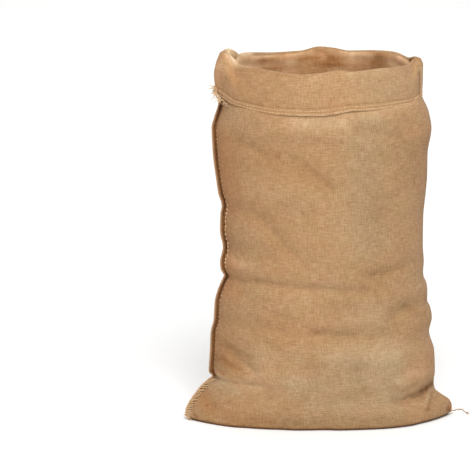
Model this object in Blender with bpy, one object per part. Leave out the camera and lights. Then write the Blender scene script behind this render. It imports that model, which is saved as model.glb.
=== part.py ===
"""Hessian sack, standing open with its mouth turned out and down as a cuff.

Metres, +Z up, the front faces -Y. The sack is one cloth: folded along its right-hand edge (+X),
sewn up its left-hand edge (-X) and along its bottom, with a double hem at the mouth. The seam
allowance stands out of the left-hand edge as a flange, and the two bottom corners stick out.

The wall is a surface in two halves, front and back, each a depth over (x, z). The depth comes
from a few sections, the side edges from a table of heights, and folds are laid over both.
"""

import bpy
import numpy as np

MM = 0.001

# ---- Heights, before the rim's unevenness.
RIM = 0.810
WALL_TOP = 0.800
RISE_FROM = 0.690  # height where the wall starts to follow the uneven rim
FLOOR_ROLL = 0.050  # height below which the wall rolls under
FOLD_FADE = 8  # the higher, the nearer to the side edges the folds reach
SEAM_LENGTH = 0.93  # the bottom seam, as a share of the length that rests on the floor
CUFF_HEIGHT = 0.095

# ---- Cloth and sewing.
CLOTH = 2.2 * MM
SLIT = 1.2 * MM  # half gap left inside where front and back meet
FLANGE_WIDTH = 11 * MM
FLANGE_HALF = 2.4 * MM
FLANGE_CURL = 4 * MM  # how far the flange's edge leans to the front
FLANGE_SWAY = 0.6  # share of the lean that comes and goes along its height
FLANGE_WAVE = 95 * MM
FLANGE_ROOT = 0.82  # share of its width out to its inner column
FLANGE_FADE = (0.700, 0.765)  # heights between which it runs out, under the cuff
FLANGE_FOOT = 0.030  # height below which it stops leaning
HEM_HEIGHT = 15 * MM
HEM_EXTRA = 1.6 * MM  # the hem is thicker than the cloth, on its outer face
HEM_EDGE = 1.5 * MM
TURN_OUT = 4 * MM  # how far under the rim the turned cloth is upright, on its outer face
TURN_IN = 7 * MM  # the same inside the turn

# ---- Mesh.
COLUMNS = 32  # from the seam to the fold, both ends counted, on each half
LEVELS = (  # rows of the wall: from height, to height, how many steps
    (0.000, 0.018, 3),
    (0.018, 0.105, 8),
    (0.105, 0.270, 6),
    (0.270, 0.345, 5),
    (0.345, 0.500, 4),
    (0.500, 0.700, 5),
    (0.700, 0.790, 4),
)
BASE_STEPS = 3  # rows from the floor's contact line to the bottom seam
SAMPLES = 1201  # across the sack, where a section is drawn in by the cloth's thickness
CUFF_ROWS = (0.0, 0.15, 0.5, 0.84)  # rings of the cuff, as shares of the way down to the hem

# ---- Side edges. The flange's outer edge and the folded edge, by height.
EDGES = (
    # height, seam_x, fold_x
    (0.000, -0.294, 0.288),
    (0.010, -0.303, 0.299),
    (0.020, -0.302, 0.300),
    (0.034, -0.296, 0.293),
    (0.047, -0.287, 0.275),
    (0.060, -0.277, 0.260),
    (0.075, -0.264, 0.2565),
    (0.088, -0.249, 0.2585),
    (0.095, -0.242, 0.259),
    (0.105, -0.2485, 0.259),
    (0.150, -0.246, 0.255),
    (0.195, -0.244, 0.246),
    (0.228, -0.237, 0.2505),
    (0.265, -0.235, 0.240),
    (0.290, -0.229, 0.239),
    (0.307, -0.2196, 0.237),
    (0.319, -0.2125, 0.231),
    (0.332, -0.2205, 0.2295),
    (0.355, -0.223, 0.2315),
    (0.390, -0.2165, 0.2275),
    (0.430, -0.223, 0.2285),
    (0.465, -0.222, 0.228),
    (0.485, -0.219, 0.231),
    (0.515, -0.227, 0.2335),
    (0.600, -0.2385, 0.2356),
    (0.660, -0.2416, 0.244),
    (0.685, -0.236, 0.2405),
    (0.705, -0.227, 0.2335),
    (0.720, -0.217, 0.2255),
    (0.733, -0.212, 0.2195),
    (0.760, -0.208, 0.2150),
    (0.800, -0.2035, 0.2085),
)

# ---- Sections. Where the walls stand, and how pointed the two ends are.
SECTIONS = (
    # height, front_y, back_y, seam_y, fold_y, seam_full, seam_round, fold_full, fold_round
    (0.000, -0.122, 0.118, -0.033, 0.000, 2.5, 1.00, 4.0, 1.05),
    (0.006, -0.131, 0.128, -0.034, 0.000, 2.5, 1.00, 4.0, 1.05),
    (0.018, -0.138, 0.135, -0.034, 0.000, 2.5, 1.02, 3.8, 1.05),
    (0.040, -0.142, 0.139, -0.030, 0.000, 2.5, 1.10, 3.4, 1.15),
    (0.075, -0.144, 0.141, -0.022, 0.000, 2.4, 1.35, 2.8, 1.50),
    (0.120, -0.145, 0.142, -0.016, 0.000, 2.3, 1.60, 2.4, 1.85),
    (0.300, -0.142, 0.140, -0.008, 0.000, 2.3, 1.70, 2.3, 1.95),
    (0.480, -0.138, 0.137, -0.004, 0.000, 2.3, 1.65, 2.3, 1.90),
    (0.640, -0.138, 0.137, 0.000, 0.002, 2.3, 1.60, 2.3, 1.80),
    (0.700, -0.135, 0.134, 0.002, 0.003, 2.3, 1.45, 2.3, 1.50),
    (0.740, -0.129, 0.128, 0.004, 0.004, 2.3, 1.30, 2.3, 1.35),
    (0.800, -0.124, 0.124, 0.006, 0.004, 2.2, 1.10, 2.2, 1.20),
)

# ---- Cuff: its outer face by the share of the way from the rim (0) to the hem (1).
CUFF = (
    # share, seam_x, fold_x, front_y, back_y, seam_full, seam_round, fold_full, fold_round
    (0.00, -0.2225, 0.2215, -0.1330, 0.1330, 2.2, 1.15, 2.2, 1.30),
    (0.15, -0.2315, 0.2275, -0.1350, 0.1350, 2.2, 1.20, 2.2, 1.38),
    (0.50, -0.2355, 0.2275, -0.1385, 0.1370, 2.3, 1.35, 2.3, 1.50),
    (1.00, -0.229, 0.2275, -0.1450, 0.1430, 2.4, 1.50, 2.4, 1.70),
)

# ---- Heights of the rim and of the cuff's lower edge, along the front and along the back.
BRIM = (
    # x, front_rim, back_rim, front_hem, back_hem
    (-0.235, 0.8380, 0.8380, 0.742, 0.742),
    (-0.220, 0.8380, 0.8380, 0.733, 0.735),
    (-0.200, 0.8250, 0.8290, 0.725, 0.727),
    (-0.184, 0.8125, 0.8260, 0.722, 0.724),
    (-0.160, 0.8095, 0.8200, 0.719, 0.722),
    (-0.100, 0.8065, 0.8135, 0.714, 0.717),
    (-0.045, 0.8030, 0.8125, 0.713, 0.715),
    (0.000, 0.8070, 0.8210, 0.712, 0.719),
    (0.030, 0.8110, 0.8175, 0.716, 0.722),
    (0.065, 0.8085, 0.8143, 0.723, 0.722),
    (0.120, 0.8120, 0.8190, 0.724, 0.719),
    (0.160, 0.8095, 0.8200, 0.727, 0.722),
    (0.195, 0.8085, 0.8130, 0.730, 0.729),
    (0.212, 0.8180, 0.8180, 0.730, 0.730),
)

# ---- Folds: soft troughs along a line on one half. A negative depth is a swelling.
FOLDS = (
    # cloth, x1, z1, x2, z2, depth_mm, reach_mm
    ("front", -0.190, 0.655, -0.125, 0.625, 7.0, 18),
    ("front", -0.085, 0.615, 0.020, 0.545, 11.0, 19),
    ("front", -0.195, 0.490, -0.130, 0.472, 6.0, 18),
    ("front", -0.130, 0.472, -0.065, 0.400, 6.5, 18),
    ("front", -0.215, 0.338, -0.140, 0.345, 8.0, 14),
    ("front", -0.140, 0.345, 0.100, 0.315, 6.0, 15),
    ("front", -0.165, 0.240, -0.060, 0.215, 7.0, 18),
    ("front", -0.010, 0.213, 0.165, 0.222, 11.0, 17),
    ("front", 0.105, 0.345, 0.225, 0.378, 8.0, 16),
    ("front", 0.155, 0.248, 0.240, 0.292, 12.0, 15),
    ("front", 0.100, 0.460, 0.215, 0.550, 6.5, 19),
    ("front", 0.080, 0.680, 0.180, 0.655, 4.0, 16),
    ("front", 0.190, 0.064, 0.250, 0.080, 15.0, 12),
    ("front", -0.225, 0.175, -0.150, 0.130, 8.0, 13),
    ("front", -0.230, 0.112, -0.170, 0.085, 7.0, 13),
    ("front", 0.085, 0.135, 0.092, 0.060, 4.5, 17),
    ("front", -0.025, 0.140, -0.030, 0.070, 3.0, 17),
    ("front", -0.110, 0.680, 0.040, 0.672, -5.0, 22),
    ("front", 0.030, 0.160, 0.140, 0.160, -6.0, 35),
    ("front", -0.130, 0.130, -0.060, 0.110, -5.0, 35),
    ("front", 0.020, 0.420, 0.080, 0.420, -5.0, 60),
    ("back", -0.180, 0.600, 0.020, 0.520, 8.0, 19),
    ("back", 0.060, 0.610, 0.180, 0.540, 7.0, 19),
    ("back", 0.110, 0.440, 0.215, 0.385, 7.0, 17),
    ("back", -0.210, 0.335, 0.110, 0.305, 7.0, 16),
    ("back", 0.050, 0.215, 0.215, 0.250, 8.0, 17),
    ("back", -0.190, 0.190, -0.060, 0.150, 8.0, 18),
    ("back", -0.040, 0.420, 0.040, 0.420, -6.0, 55),
    ("cuff", -0.205, 0.800, -0.150, 0.765, 2.5, 15),
    ("cuff", 0.040, 0.745, 0.170, 0.785, 2.0, 15),
    ("cuff", -0.060, 0.775, 0.010, 0.775, -1.5, 25),
)

# ---- Loose end of the sewing twine at the right-hand corner.
TWINE = 2.4 * MM
TWINE_POINTS = 12
TWINE_ROUTE = (
    # x, y, z
    (0.2994, 0.000, 0.0090),
    (0.3050, -0.001, 0.0095),
    (0.3110, -0.001, 0.0118),
    (0.3180, 0.000, 0.0122),
    (0.3235, 0.001, 0.0110),
    (0.3268, 0.002, 0.0075),
    (0.3310, 0.002, 0.0045),
    (0.3372, 0.001, 0.0016),
)


def smooth(at, xs, ys):
    """A cubic through the points that never overshoots them."""
    xs = np.asarray(xs, float)
    ys = np.asarray(ys, float)
    steps = np.diff(xs)
    slopes = np.diff(ys) / steps
    inner = slopes[:-1] * slopes[1:]
    weight = np.where(inner > 0, slopes[:-1] + slopes[1:], 1.0)
    middle = np.where(inner > 0, 2 * inner / weight, 0.0)
    tangents = np.concatenate([slopes[:1], middle, slopes[-1:]])
    at = np.clip(at, xs[0], xs[-1])
    i = np.clip(np.searchsorted(xs, at, side="right") - 1, 0, len(steps) - 1)
    u = (at - xs[i]) / steps[i]
    start = ys[i] * (1 + 2 * u) * (1 - u) ** 2 + tangents[i] * steps[i] * u * (1 - u) ** 2
    end = ys[i + 1] * u * u * (3 - 2 * u) - tangents[i + 1] * steps[i] * u * u * (1 - u)
    return start + end


def read(table, column, at):
    rows = np.array(table)
    return smooth(at, rows[:, 0], rows[:, column])


def ramp(value, low, high):
    u = np.clip((value - low) / (high - low), 0, 1)
    return u * u * (3 - 2 * u)


def folds(cloth, x, z):
    """How far the cloth is drawn in at (x, z)."""
    drawn = np.zeros(np.broadcast(x, z).shape)
    for side, x1, z1, x2, z2, deep, reach in FOLDS:
        if side != cloth:
            continue
        dx, dz = x2 - x1, z2 - z1
        along = np.clip(((x - x1) * dx + (z - z1) * dz) / (dx * dx + dz * dz), 0, 1)
        away = np.hypot(x - x1 - along * dx, z - z1 - along * dz)
        drawn = drawn + deep * MM * np.exp(-((away / (reach * MM)) ** 2))
    return drawn


def wall_section(z):
    """The plan of the sack at one height: its ends, its walls and its shape."""
    names = ("front", "back", "seam_y", "fold_y", "seam_full", "seam_round", "fold_full", "fold_round")
    found = {name: float(read(SECTIONS, i + 1, z)) for i, name in enumerate(names)}
    flange = FLANGE_WIDTH * (1 - float(ramp(z, *FLANGE_FADE)))
    found["z"] = z
    found["folds"] = {"front": "front", "back": "back"}
    found["flange"] = flange
    found["seam_x"] = float(read(EDGES, 1, z)) + flange
    found["fold_x"] = float(read(EDGES, 2, z))
    return found


def cuff_section(share):
    """The plan of the cuff's outer face, this share of the way from the rim to the hem."""
    names = ("seam_x", "fold_x", "front", "back", "seam_full", "seam_round", "fold_full", "fold_round")
    found = {name: float(read(CUFF, i + 1, share)) for i, name in enumerate(names)}
    found["z"] = RIM - CUFF_HEIGHT * share
    found["folds"] = {"front": "cuff", "back": "none"}
    found["seam_y"] = float(read(SECTIONS, 3, WALL_TOP))
    found["fold_y"] = float(read(SECTIONS, 4, WALL_TOP))
    found["flange"] = 0.0
    return found


def centre(plan, x):
    share = (x - plan["seam_x"]) / (plan["fold_x"] - plan["seam_x"])
    return plan["seam_y"] + (plan["fold_y"] - plan["seam_y"]) * np.clip(share, 0, 1)


def depth(plan, half, x, rise=0.0):
    """How far the cloth stands from the centre line at x."""
    middle = (plan["seam_x"] + plan["fold_x"]) / 2
    across = (x - middle) / (plan["fold_x"] - middle)
    near = np.clip(np.abs(across), 0, 1)
    seam = (1 - near ** plan["seam_full"]) ** (1 / plan["seam_round"])
    fold = (1 - near ** plan["fold_full"]) ** (1 / plan["fold_round"])
    full = abs(plan[half] - centre(plan, middle))
    drawn = folds(plan["folds"][half], x, plan["z"] + rise)
    return np.where(across < 0, seam, fold) * full - (1 - near**FOLD_FADE) * drawn


def spread(low, high):
    """Columns from the seam to the fold, closer together at both ends."""
    angle = np.linspace(0, np.pi, COLUMNS)
    return (low + high) / 2 - (high - low) / 2 * np.cos(angle)


def inset(plan, half, thickness):
    """Depths of the same section drawn in by a thickness, square to the cloth."""
    step = 1 * MM
    x = np.linspace(plan["seam_x"], plan["fold_x"], SAMPLES)
    outer = depth(plan, half, x)
    across = np.gradient(outer, x)
    up = (depth(plan, half, x, step) - depth(plan, half, x, -step)) / (2 * step)
    return x, outer - thickness * np.sqrt(1 + across**2 + up**2)


def outer_loop(plan):
    """Points of one loop of the outer face, seam to fold, along the front and the back."""
    points = {}
    flange = plan["flange"]
    share = flange / FLANGE_WIDTH
    for half, sign in (("front", -1), ("back", 1)):
        x = spread(plan["seam_x"], plan["fold_x"])
        d = np.maximum(depth(plan, half, x), 0)
        x[0] -= flange
        x[1] -= share * (x[1] - plan["seam_x"] + FLANGE_ROOT * flange)
        x[2] -= share * (x[2] - plan["seam_x"])
        d[1] += share * (FLANGE_HALF - d[1])
        d[2] += share * (FLANGE_HALF - d[2])
        d[[0, -1]] = 0
        out = np.clip((plan["seam_x"] - x) / FLANGE_WIDTH, 0, 1)
        lean = FLANGE_CURL * (1 + FLANGE_SWAY * np.sin(2 * np.pi * plan["z"] / FLANGE_WAVE))
        lean *= ramp(plan["z"], 0, FLANGE_FOOT)
        points[half] = np.stack([x, centre(plan, x) + sign * d - lean * out**2], axis=1)
    return points


def inner_loop(plan, thickness):
    """The loop a thickness inside outer_loop, without the flange."""
    found = {half: inset(plan, half, thickness) for half in ("front", "back")}
    fine = found["front"][0]
    least = np.minimum(found["front"][1], found["back"][1])
    clear = fine[least > SLIT]
    x = spread(clear[0], clear[-1])
    points = {}
    for half, sign in (("front", -1), ("back", 1)):
        d = np.interp(x, fine, found[half][1])
        d[[0, -1]] = 0
        points[half] = np.stack([x, centre(plan, x) + sign * d], axis=1)
    return points


def loop(points, height):
    """One ring: the front from seam to fold, then the back from fold to seam."""
    front = np.concatenate([points["front"], height["front"][:, None]], axis=1)
    back = np.concatenate([points["back"], height["back"][:, None]], axis=1)
    return np.concatenate([front, back[-2:0:-1]])


def brim(kind, points):
    """Height of the rim or of the hem above each point of a loop."""
    columns = {"rim": {"front": 1, "back": 2}, "hem": {"front": 3, "back": 4}}[kind]
    return {half: read(BRIM, columns[half], points[half][:, 0]) for half in ("front", "back")}


def level(points, z):
    """Heights of a wall row, lifted towards the top so that the rim comes out uneven."""
    rim = brim("rim", points)
    return {half: z + ramp(z, RISE_FROM, WALL_TOP) * (rim[half] - RIM) for half in rim}


def wall_heights():
    heights = [0.0]
    for low, high, steps in LEVELS:
        heights += list(np.linspace(low, high, steps + 1)[1:])
    return heights


def profile_lean(z):
    """Angle of the front wall's profile from upright, in the roll at the floor."""
    step = 0.5 * MM
    wider = float(read(SECTIONS, 1, z)) - float(read(SECTIONS, 1, z + step))
    return np.arctan2(wider, step) if z < FLOOR_ROLL else 0.0


def base_rows(ring):
    """Rows from the bottom seam, where front and back meet, out to the contact line."""
    front = ring[:COLUMNS]
    back = np.concatenate([ring[:1], ring[: COLUMNS - 2 : -1]])
    seam = (front + back) / 2
    middle = (ring[0, 0] + ring[COLUMNS - 1, 0]) / 2
    rows = []
    for step in range(BASE_STEPS):
        share = step / BASE_STEPS
        lines = []
        for line in (front, back):
            now = seam + (line - seam) * share
            now[:, 0] = middle + (now[:, 0] - middle) * (SEAM_LENGTH + (1 - SEAM_LENGTH) * share)
            lines.append(now)
        rows.append(np.concatenate([lines[0], lines[1][-2:0:-1]]))
    return rows


def thicker(plan, extra):
    wider = dict(plan)
    wider["seam_x"] -= extra
    wider["fold_x"] += extra
    wider["front"] -= extra
    wider["back"] += extra
    return wider


def between(a, b, share):
    return {half: a[half] + (b[half] - a[half]) * share for half in a}


def under(points, drop):
    """A ring this far below the rim."""
    rim = brim("rim", points)
    return loop(points, {half: rim[half] - drop for half in rim})


def above(points, rise):
    """A ring this far above the cuff's lower edge."""
    hem = brim("hem", points)
    return loop(points, {half: hem[half] + rise for half in hem})


def cuff_rows():
    """Rings from the wall's outer face, down the cuff's inside, round the hem and over the rim."""
    wall = outer_loop(wall_section(WALL_TOP))
    wall_inside = inner_loop(wall_section(WALL_TOP), CLOTH)
    top, upper, middle, lower = CUFF_ROWS
    face = {share: outer_loop(cuff_section(share)) for share in CUFF_ROWS}
    lining = {share: inner_loop(cuff_section(share), CLOTH) for share in CUFF_ROWS}
    hem_out = outer_loop(thicker(cuff_section(1.0), HEM_EXTRA))
    hem_in = inner_loop(cuff_section(1.0), CLOTH + HEM_EXTRA / 2)
    return [
        under(between(wall, lining[top], 0.1), TURN_IN),
        under(between(wall, lining[top], 0.5), CLOTH + 1 * MM),
        under(between(wall, lining[top], 0.9), TURN_IN),
        under(lining[middle], middle * CUFF_HEIGHT),
        above(lining[lower], HEM_HEIGHT + 4 * MM),
        above(hem_in, HEM_HEIGHT),
        above(hem_in, HEM_EDGE),
        above(between(hem_out, hem_in, 0.5), 0.0),
        above(hem_out, HEM_EDGE),
        above(hem_out, HEM_HEIGHT - 1 * MM),
        above(face[lower], HEM_HEIGHT + 2 * MM),
        under(face[middle], middle * CUFF_HEIGHT),
        under(face[upper], upper * CUFF_HEIGHT),
        under(face[top], TURN_OUT),
        under(between(face[top], wall_inside, 0.5), 0.0),
        under(wall_inside, TURN_OUT),
    ]


def sack_rows():
    """Every ring of the closed surface, from outside the bottom seam round to inside it."""
    outside, inside = [], []
    for z in wall_heights():
        plan = wall_section(z)
        points = outer_loop(plan)
        outside.append(loop(points, level(points, z)))
        lean = profile_lean(z)
        points = inner_loop(plan, CLOTH * np.cos(lean))
        raised = level(points, z + CLOTH * np.sin(lean))
        inside.append(loop(points, raised))
    return base_rows(outside[0]) + outside + cuff_rows() + inside[::-1] + base_rows(inside[0])[::-1]


def sack_mesh():
    rows = sack_rows()
    around = len(rows[0])
    points = np.concatenate(rows)
    number = np.arange(len(points)).reshape(len(rows), around)
    # Along the bottom seam, on either face, each back point is the front point across from it.
    for row in (0, len(rows) - 1):
        mirrored = number[row, 1:COLUMNS - 1][::-1]
        number[row, COLUMNS:] = mirrored
    after = np.roll(number, -1, axis=1)
    corners = np.stack([number[:-1], after[:-1], after[1:], number[1:]], axis=2)
    # Both faces of the cloth are cut along the same diagonals.
    turn = len(rows) // 2
    corners[turn:] = np.roll(corners[turn:], 1, axis=2)
    corners = corners.reshape(-1, 4)
    faces = np.concatenate([corners[:, [0, 1, 2]], corners[:, [0, 2, 3]]])
    used = np.unique(faces)
    renumber = np.zeros(len(points), int)
    renumber[used] = np.arange(len(used))
    mesh = bpy.data.meshes.new("sack_cloth")
    mesh.from_pydata(points[used].tolist(), [], renumber[faces].tolist())
    mesh.update()
    return mesh


def material(name, colour, roughness):
    made = bpy.data.materials.new(name)
    made.use_nodes = True
    shader = made.node_tree.nodes["Principled BSDF"]
    shader.inputs["Base Color"].default_value = (*colour, 1)
    shader.inputs["Roughness"].default_value = roughness
    return made


def add(name, data, surface):
    data.materials.append(surface)
    made = bpy.data.objects.new(name, data)
    bpy.context.scene.collection.objects.link(made)
    return made


def twine_curve():
    curve = bpy.data.curves.new("twine_tail", "CURVE")
    curve.dimensions = "3D"
    curve.bevel_depth = TWINE / 2
    curve.bevel_resolution = 2
    curve.use_fill_caps = True
    route = np.array(TWINE_ROUTE)
    run = np.concatenate([[0], np.cumsum(np.linalg.norm(np.diff(route, axis=0), axis=1))])
    at = np.linspace(0, run[-1], TWINE_POINTS)
    spline = curve.splines.new("POLY")
    spline.points.add(len(at) - 1)
    for i, along in enumerate(at):
        place = [float(smooth(along, run, route[:, k])) for k in range(3)]
        spline.points[i].co = (*place, 1)
    return curve


def main():
    for left in list(bpy.data.objects):
        bpy.data.objects.remove(left, do_unlink=True)
    hessian = material("hessian", (0.42, 0.28, 0.15), 0.95)
    twine = material("jute_twine", (0.52, 0.38, 0.22), 0.9)
    sack = add("sack_cloth", sack_mesh(), hessian)
    sack.data.polygons.foreach_set("use_smooth", [True] * len(sack.data.polygons))
    add("twine_tail", twine_curve(), twine)


main()
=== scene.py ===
# %% [markdown]
# # A hessian sack, standing open
#
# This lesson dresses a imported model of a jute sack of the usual 60 by 105 cm size. The sack is
# one length of coarse cloth: folded along its right-hand edge, sewn up its left-hand edge and
# along its bottom, with a narrow hem round the mouth. The mouth is turned out and down as a
# cuff, so that the sack stands by itself.
#
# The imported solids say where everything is. Each piece below is a surface that numpy works out
# in the same frame, in metres, and it replaces the plain solid that stands for it.

import functools
import math

import bpy
import numpy as np
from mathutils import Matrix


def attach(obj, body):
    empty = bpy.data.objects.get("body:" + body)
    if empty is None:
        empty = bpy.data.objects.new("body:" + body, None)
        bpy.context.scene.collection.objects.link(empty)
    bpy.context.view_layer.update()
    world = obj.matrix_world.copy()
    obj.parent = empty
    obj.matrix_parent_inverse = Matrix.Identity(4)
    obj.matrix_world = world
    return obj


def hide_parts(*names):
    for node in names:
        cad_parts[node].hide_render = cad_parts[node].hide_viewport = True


MM = 0.001

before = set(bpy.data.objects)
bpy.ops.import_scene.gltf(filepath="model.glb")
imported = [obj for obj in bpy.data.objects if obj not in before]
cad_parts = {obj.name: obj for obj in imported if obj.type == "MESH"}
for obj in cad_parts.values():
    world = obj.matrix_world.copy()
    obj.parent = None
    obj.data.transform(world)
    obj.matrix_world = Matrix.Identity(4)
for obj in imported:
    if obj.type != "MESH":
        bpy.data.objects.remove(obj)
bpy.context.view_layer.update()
print("solids:", sorted(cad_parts))

# %% [markdown]
# ## Camera
#
# A long lens far away keeps the sack's sides upright, as in a catalogue picture. It looks along
# +Y and down by about 12 degrees, so that it sees the front wall and a little of the inside of
# the mouth.

# %% Camera
PICTURE = 470  # pixels along each side
PIXEL = 2.24 * MM  # what one pixel covers at the sack
CAMERA_DISTANCE = 9.2  # metres from the sack
CAMERA_DOWN = math.radians(12.4)
TARGET = (-0.1904, 0.0, 0.4151)  # the place in the middle of the picture
SENSOR = 36.0  # millimetres across, as in a full-frame camera


def add_camera():
    """A camera that stands back along -Y and up, so that it looks down at TARGET."""
    lens = bpy.data.cameras.new("camera")
    lens.sensor_width = SENSOR
    lens.lens = SENSOR * CAMERA_DISTANCE / (PICTURE * PIXEL)
    camera = bpy.data.objects.new("camera", lens)
    back = CAMERA_DISTANCE * math.cos(CAMERA_DOWN)
    up = CAMERA_DISTANCE * math.sin(CAMERA_DOWN)
    camera.location = (TARGET[0], TARGET[1] - back, TARGET[2] + up)
    camera.rotation_euler = (math.pi / 2 - CAMERA_DOWN, 0, 0)
    bpy.context.scene.collection.objects.link(camera)
    bpy.context.scene.camera = camera
    return camera


camera = add_camera()
print("lens", round(camera.data.lens, 1), "mm")

# %% [markdown]
# ## Small mathematics
#
# The sack's outline and its sections are tables of a few measured points. A monotone cubic runs
# through them: it is smooth, and it never swings past a point as a plain spline does.

# %% Curves through tables


def smooth(at, xs, ys):
    """A cubic through the points that never overshoots them.

    The slope at each point is the harmonic mean of the slopes on its two sides, and zero at a
    turning point. Between two points it is the Hermite cubic of their heights and slopes."""
    xs = np.asarray(xs, float)
    ys = np.asarray(ys, float)
    steps = np.diff(xs)
    slopes = np.diff(ys) / steps
    inner = slopes[:-1] * slopes[1:]
    weight = np.where(inner > 0, slopes[:-1] + slopes[1:], 1.0)
    middle = np.where(inner > 0, 2 * inner / weight, 0.0)
    tangents = np.concatenate([slopes[:1], middle, slopes[-1:]])
    at = np.clip(at, xs[0], xs[-1])
    i = np.clip(np.searchsorted(xs, at, side="right") - 1, 0, len(steps) - 1)
    u = (at - xs[i]) / steps[i]
    start = ys[i] * (1 + 2 * u) * (1 - u) ** 2 + tangents[i] * steps[i] * u * (1 - u) ** 2
    end = ys[i + 1] * u * u * (3 - 2 * u) - tangents[i + 1] * steps[i] * u * u * (1 - u)
    return start + end


def read(table, column, at):
    """The value of one column of a table at these places of its first column."""
    rows = np.array(table)
    return smooth(at, rows[:, 0], rows[:, column])


def ramp(value, low, high):
    """From 0 at low to 1 at high, flat at both ends: 3 u squared minus 2 u cubed."""
    u = np.clip((value - low) / (high - low), 0, 1)
    return u * u * (3 - 2 * u)


def mix(a, b, share):
    """What lies this share of the way from a to b."""
    return a + (b - a) * share


print("a ramp a quarter of the way up:", round(float(ramp(0.25, 0.0, 1.0)), 3))


# %% [markdown]
# ## Colours, nodes and tubes
#
# Jute is a pale golden brown. Colours are written as sRGB hex values, as a paint chart gives
# them, and turned to the linear values that shaders use. One helper adds a node, sets it up and
# links it, whatever its kind. Twine, stitches and loose yarns are all round and thin, so one
# function lays tubes along many paths at once.

# %% Helpers for materials


def linear(hex_colour):
    """sRGB hex to linear red, green, blue and alpha."""
    parts = np.array([int(hex_colour[i : i + 2], 16) for i in (1, 3, 5)]) / 255
    low = parts / 12.92
    high = ((parts + 0.055) / 1.055) ** 2.4
    return (*np.where(parts <= 0.04045, low, high).tolist(), 1.0)


def fill(made, inputs):
    """Fills a node's sockets, by name or number, each with a value or another node's socket."""
    for socket, value in inputs.items():
        if isinstance(value, bpy.types.NodeSocket):
            made.id_data.links.new(value, made.inputs[socket])
        else:
            made.inputs[socket].default_value = value


def node(tree, kind, inputs, out=0, **settings):
    """Adds a node with its settings and gives its output number out.

    inputs are its sockets in order, or a dictionary by their names or numbers."""
    made = tree.nodes.new("ShaderNode" + kind)
    for name, value in settings.items():
        setattr(made, name, value)
    fill(made, inputs if isinstance(inputs, dict) else dict(enumerate(inputs)))
    return made.outputs[out]


def weighted(add, start, *terms):
    """start plus each texture times its amount. Where start is None, the first term starts."""
    for texture, amount in terms:
        part = add("Math", (texture, amount), operation="MULTIPLY")
        start = part if start is None else add("Math", (start, part), operation="ADD")
    return start


def around_half(add, start, *terms):
    """start plus each (texture - 0.5) times its amount, so that an even grey changes nothing."""
    for texture, amount in terms:
        off = add("Math", (texture, 0.5), operation="SUBTRACT")
        start = weighted(add, start, (off, amount))
    return start


def set_stops(socket, *stops):
    """Gives the Color Ramp behind a socket its stops, each (position, hex)."""
    band = socket.node.color_ramp.elements
    for i, (position, hex_colour) in enumerate(stops):
        stop = band[i] if i < 2 else band.new(position)
        stop.position = position
        stop.color = linear(hex_colour)
    return socket


def new_material(name):
    """A material, the function that adds a node to it, and its shader."""
    made = bpy.data.materials.new(name)
    made.use_nodes = True
    tree = made.node_tree
    return made, functools.partial(node, tree), tree.nodes["Principled BSDF"]


def dull(shader):
    """Jute fibre is matt: hardly any gloss, and a little sheen from its loose hairs."""
    matt = {"Roughness": 0.95, "IOR": 1.45, "Specular IOR Level": 0.15}
    fill(shader, {**matt, "Sheen Weight": 0.08, "Sheen Roughness": 0.6})


def add_object(mesh):
    """An object of the mesh's own name, at the origin."""
    made = bpy.data.objects.new(mesh.name, mesh)
    bpy.context.scene.collection.objects.link(made)
    return made


print("middle grey is", round(linear("#808080")[0], 3), "in linear light")

# %% Tubes
TUBE_SHIFT = 13 * MM  # moves the pattern on from one tube to the next, so that no two match


def unit(vectors):
    """Vectors of the same directions, each one long."""
    return vectors / np.linalg.norm(vectors, axis=-1, keepdims=True)


def tubes(name, paths, radii, sides=6):
    """Tubes along paths (count, points, 3), all in one mesh, with a UV map in metres.

    At each point a circle is laid square to the path: the point plus the radius times
    (cos a, sin a) along two directions square to the path and to each other. The first of them
    is the path's direction crossed with the one in which the whole path spreads least."""
    paths = np.asarray(paths, float)
    count, points = paths.shape[:2]
    along = unit(np.gradient(paths, axis=1))
    spread_out = paths - paths.mean(axis=1, keepdims=True)
    least = np.linalg.svd(spread_out, full_matrices=False)[2][:, 2:3]
    first = unit(np.cross(along, least))
    second = np.cross(along, first)
    angle = np.linspace(0, 2 * np.pi, sides, endpoint=False)[:, None]
    round_it = np.cos(angle) * first[:, :, None] + np.sin(angle) * second[:, :, None]
    radii = np.broadcast_to(radii, (count, points))[:, :, None, None]
    verts = paths[:, :, None] + radii * round_it
    number = np.arange(count * points * sides).reshape(count, points, sides)
    after = np.roll(number, -1, axis=2)
    corners = (number[:, :-1], after[:, :-1], after[:, 1:], number[:, 1:])
    faces = np.stack(corners, axis=3).reshape(-1, 4).tolist()
    faces += number[:, 0, ::-1].tolist() + number[:, -1].tolist()
    steps = np.linalg.norm(np.diff(paths, axis=1, prepend=paths[:, :1]), axis=2)
    run = np.cumsum(steps, axis=1)[:, :, None] + np.arange(count)[:, None, None] * TUBE_SHIFT
    turn = np.linspace(0, 1, sides + 1)
    u, v = np.broadcast_arrays(run, turn)
    flat = np.stack([u, v], axis=3)
    quads = (flat[:, :-1, :-1], flat[:, :-1, 1:], flat[:, 1:, 1:], flat[:, 1:, :-1])
    quad_uv = np.stack(quads, axis=3).reshape(-1, 2)
    cap_uv = np.concatenate([flat[:, 0, :-1], flat[:, -1, :-1]]).reshape(-1, 2)
    mesh = bpy.data.meshes.new(name)
    mesh.from_pydata(verts.reshape(-1, 3).tolist(), [], faces)
    layer = mesh.uv_layers.new(name="along_twine")
    layer.data.foreach_set("uv", np.concatenate([quad_uv, cap_uv]).astype(np.float32).ravel())
    mesh.polygons.foreach_set("use_smooth", [True] * len(mesh.polygons))
    mesh.update()
    print(name, count, "tubes,", 2 * len(faces), "triangles")
    return add_object(mesh)


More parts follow.
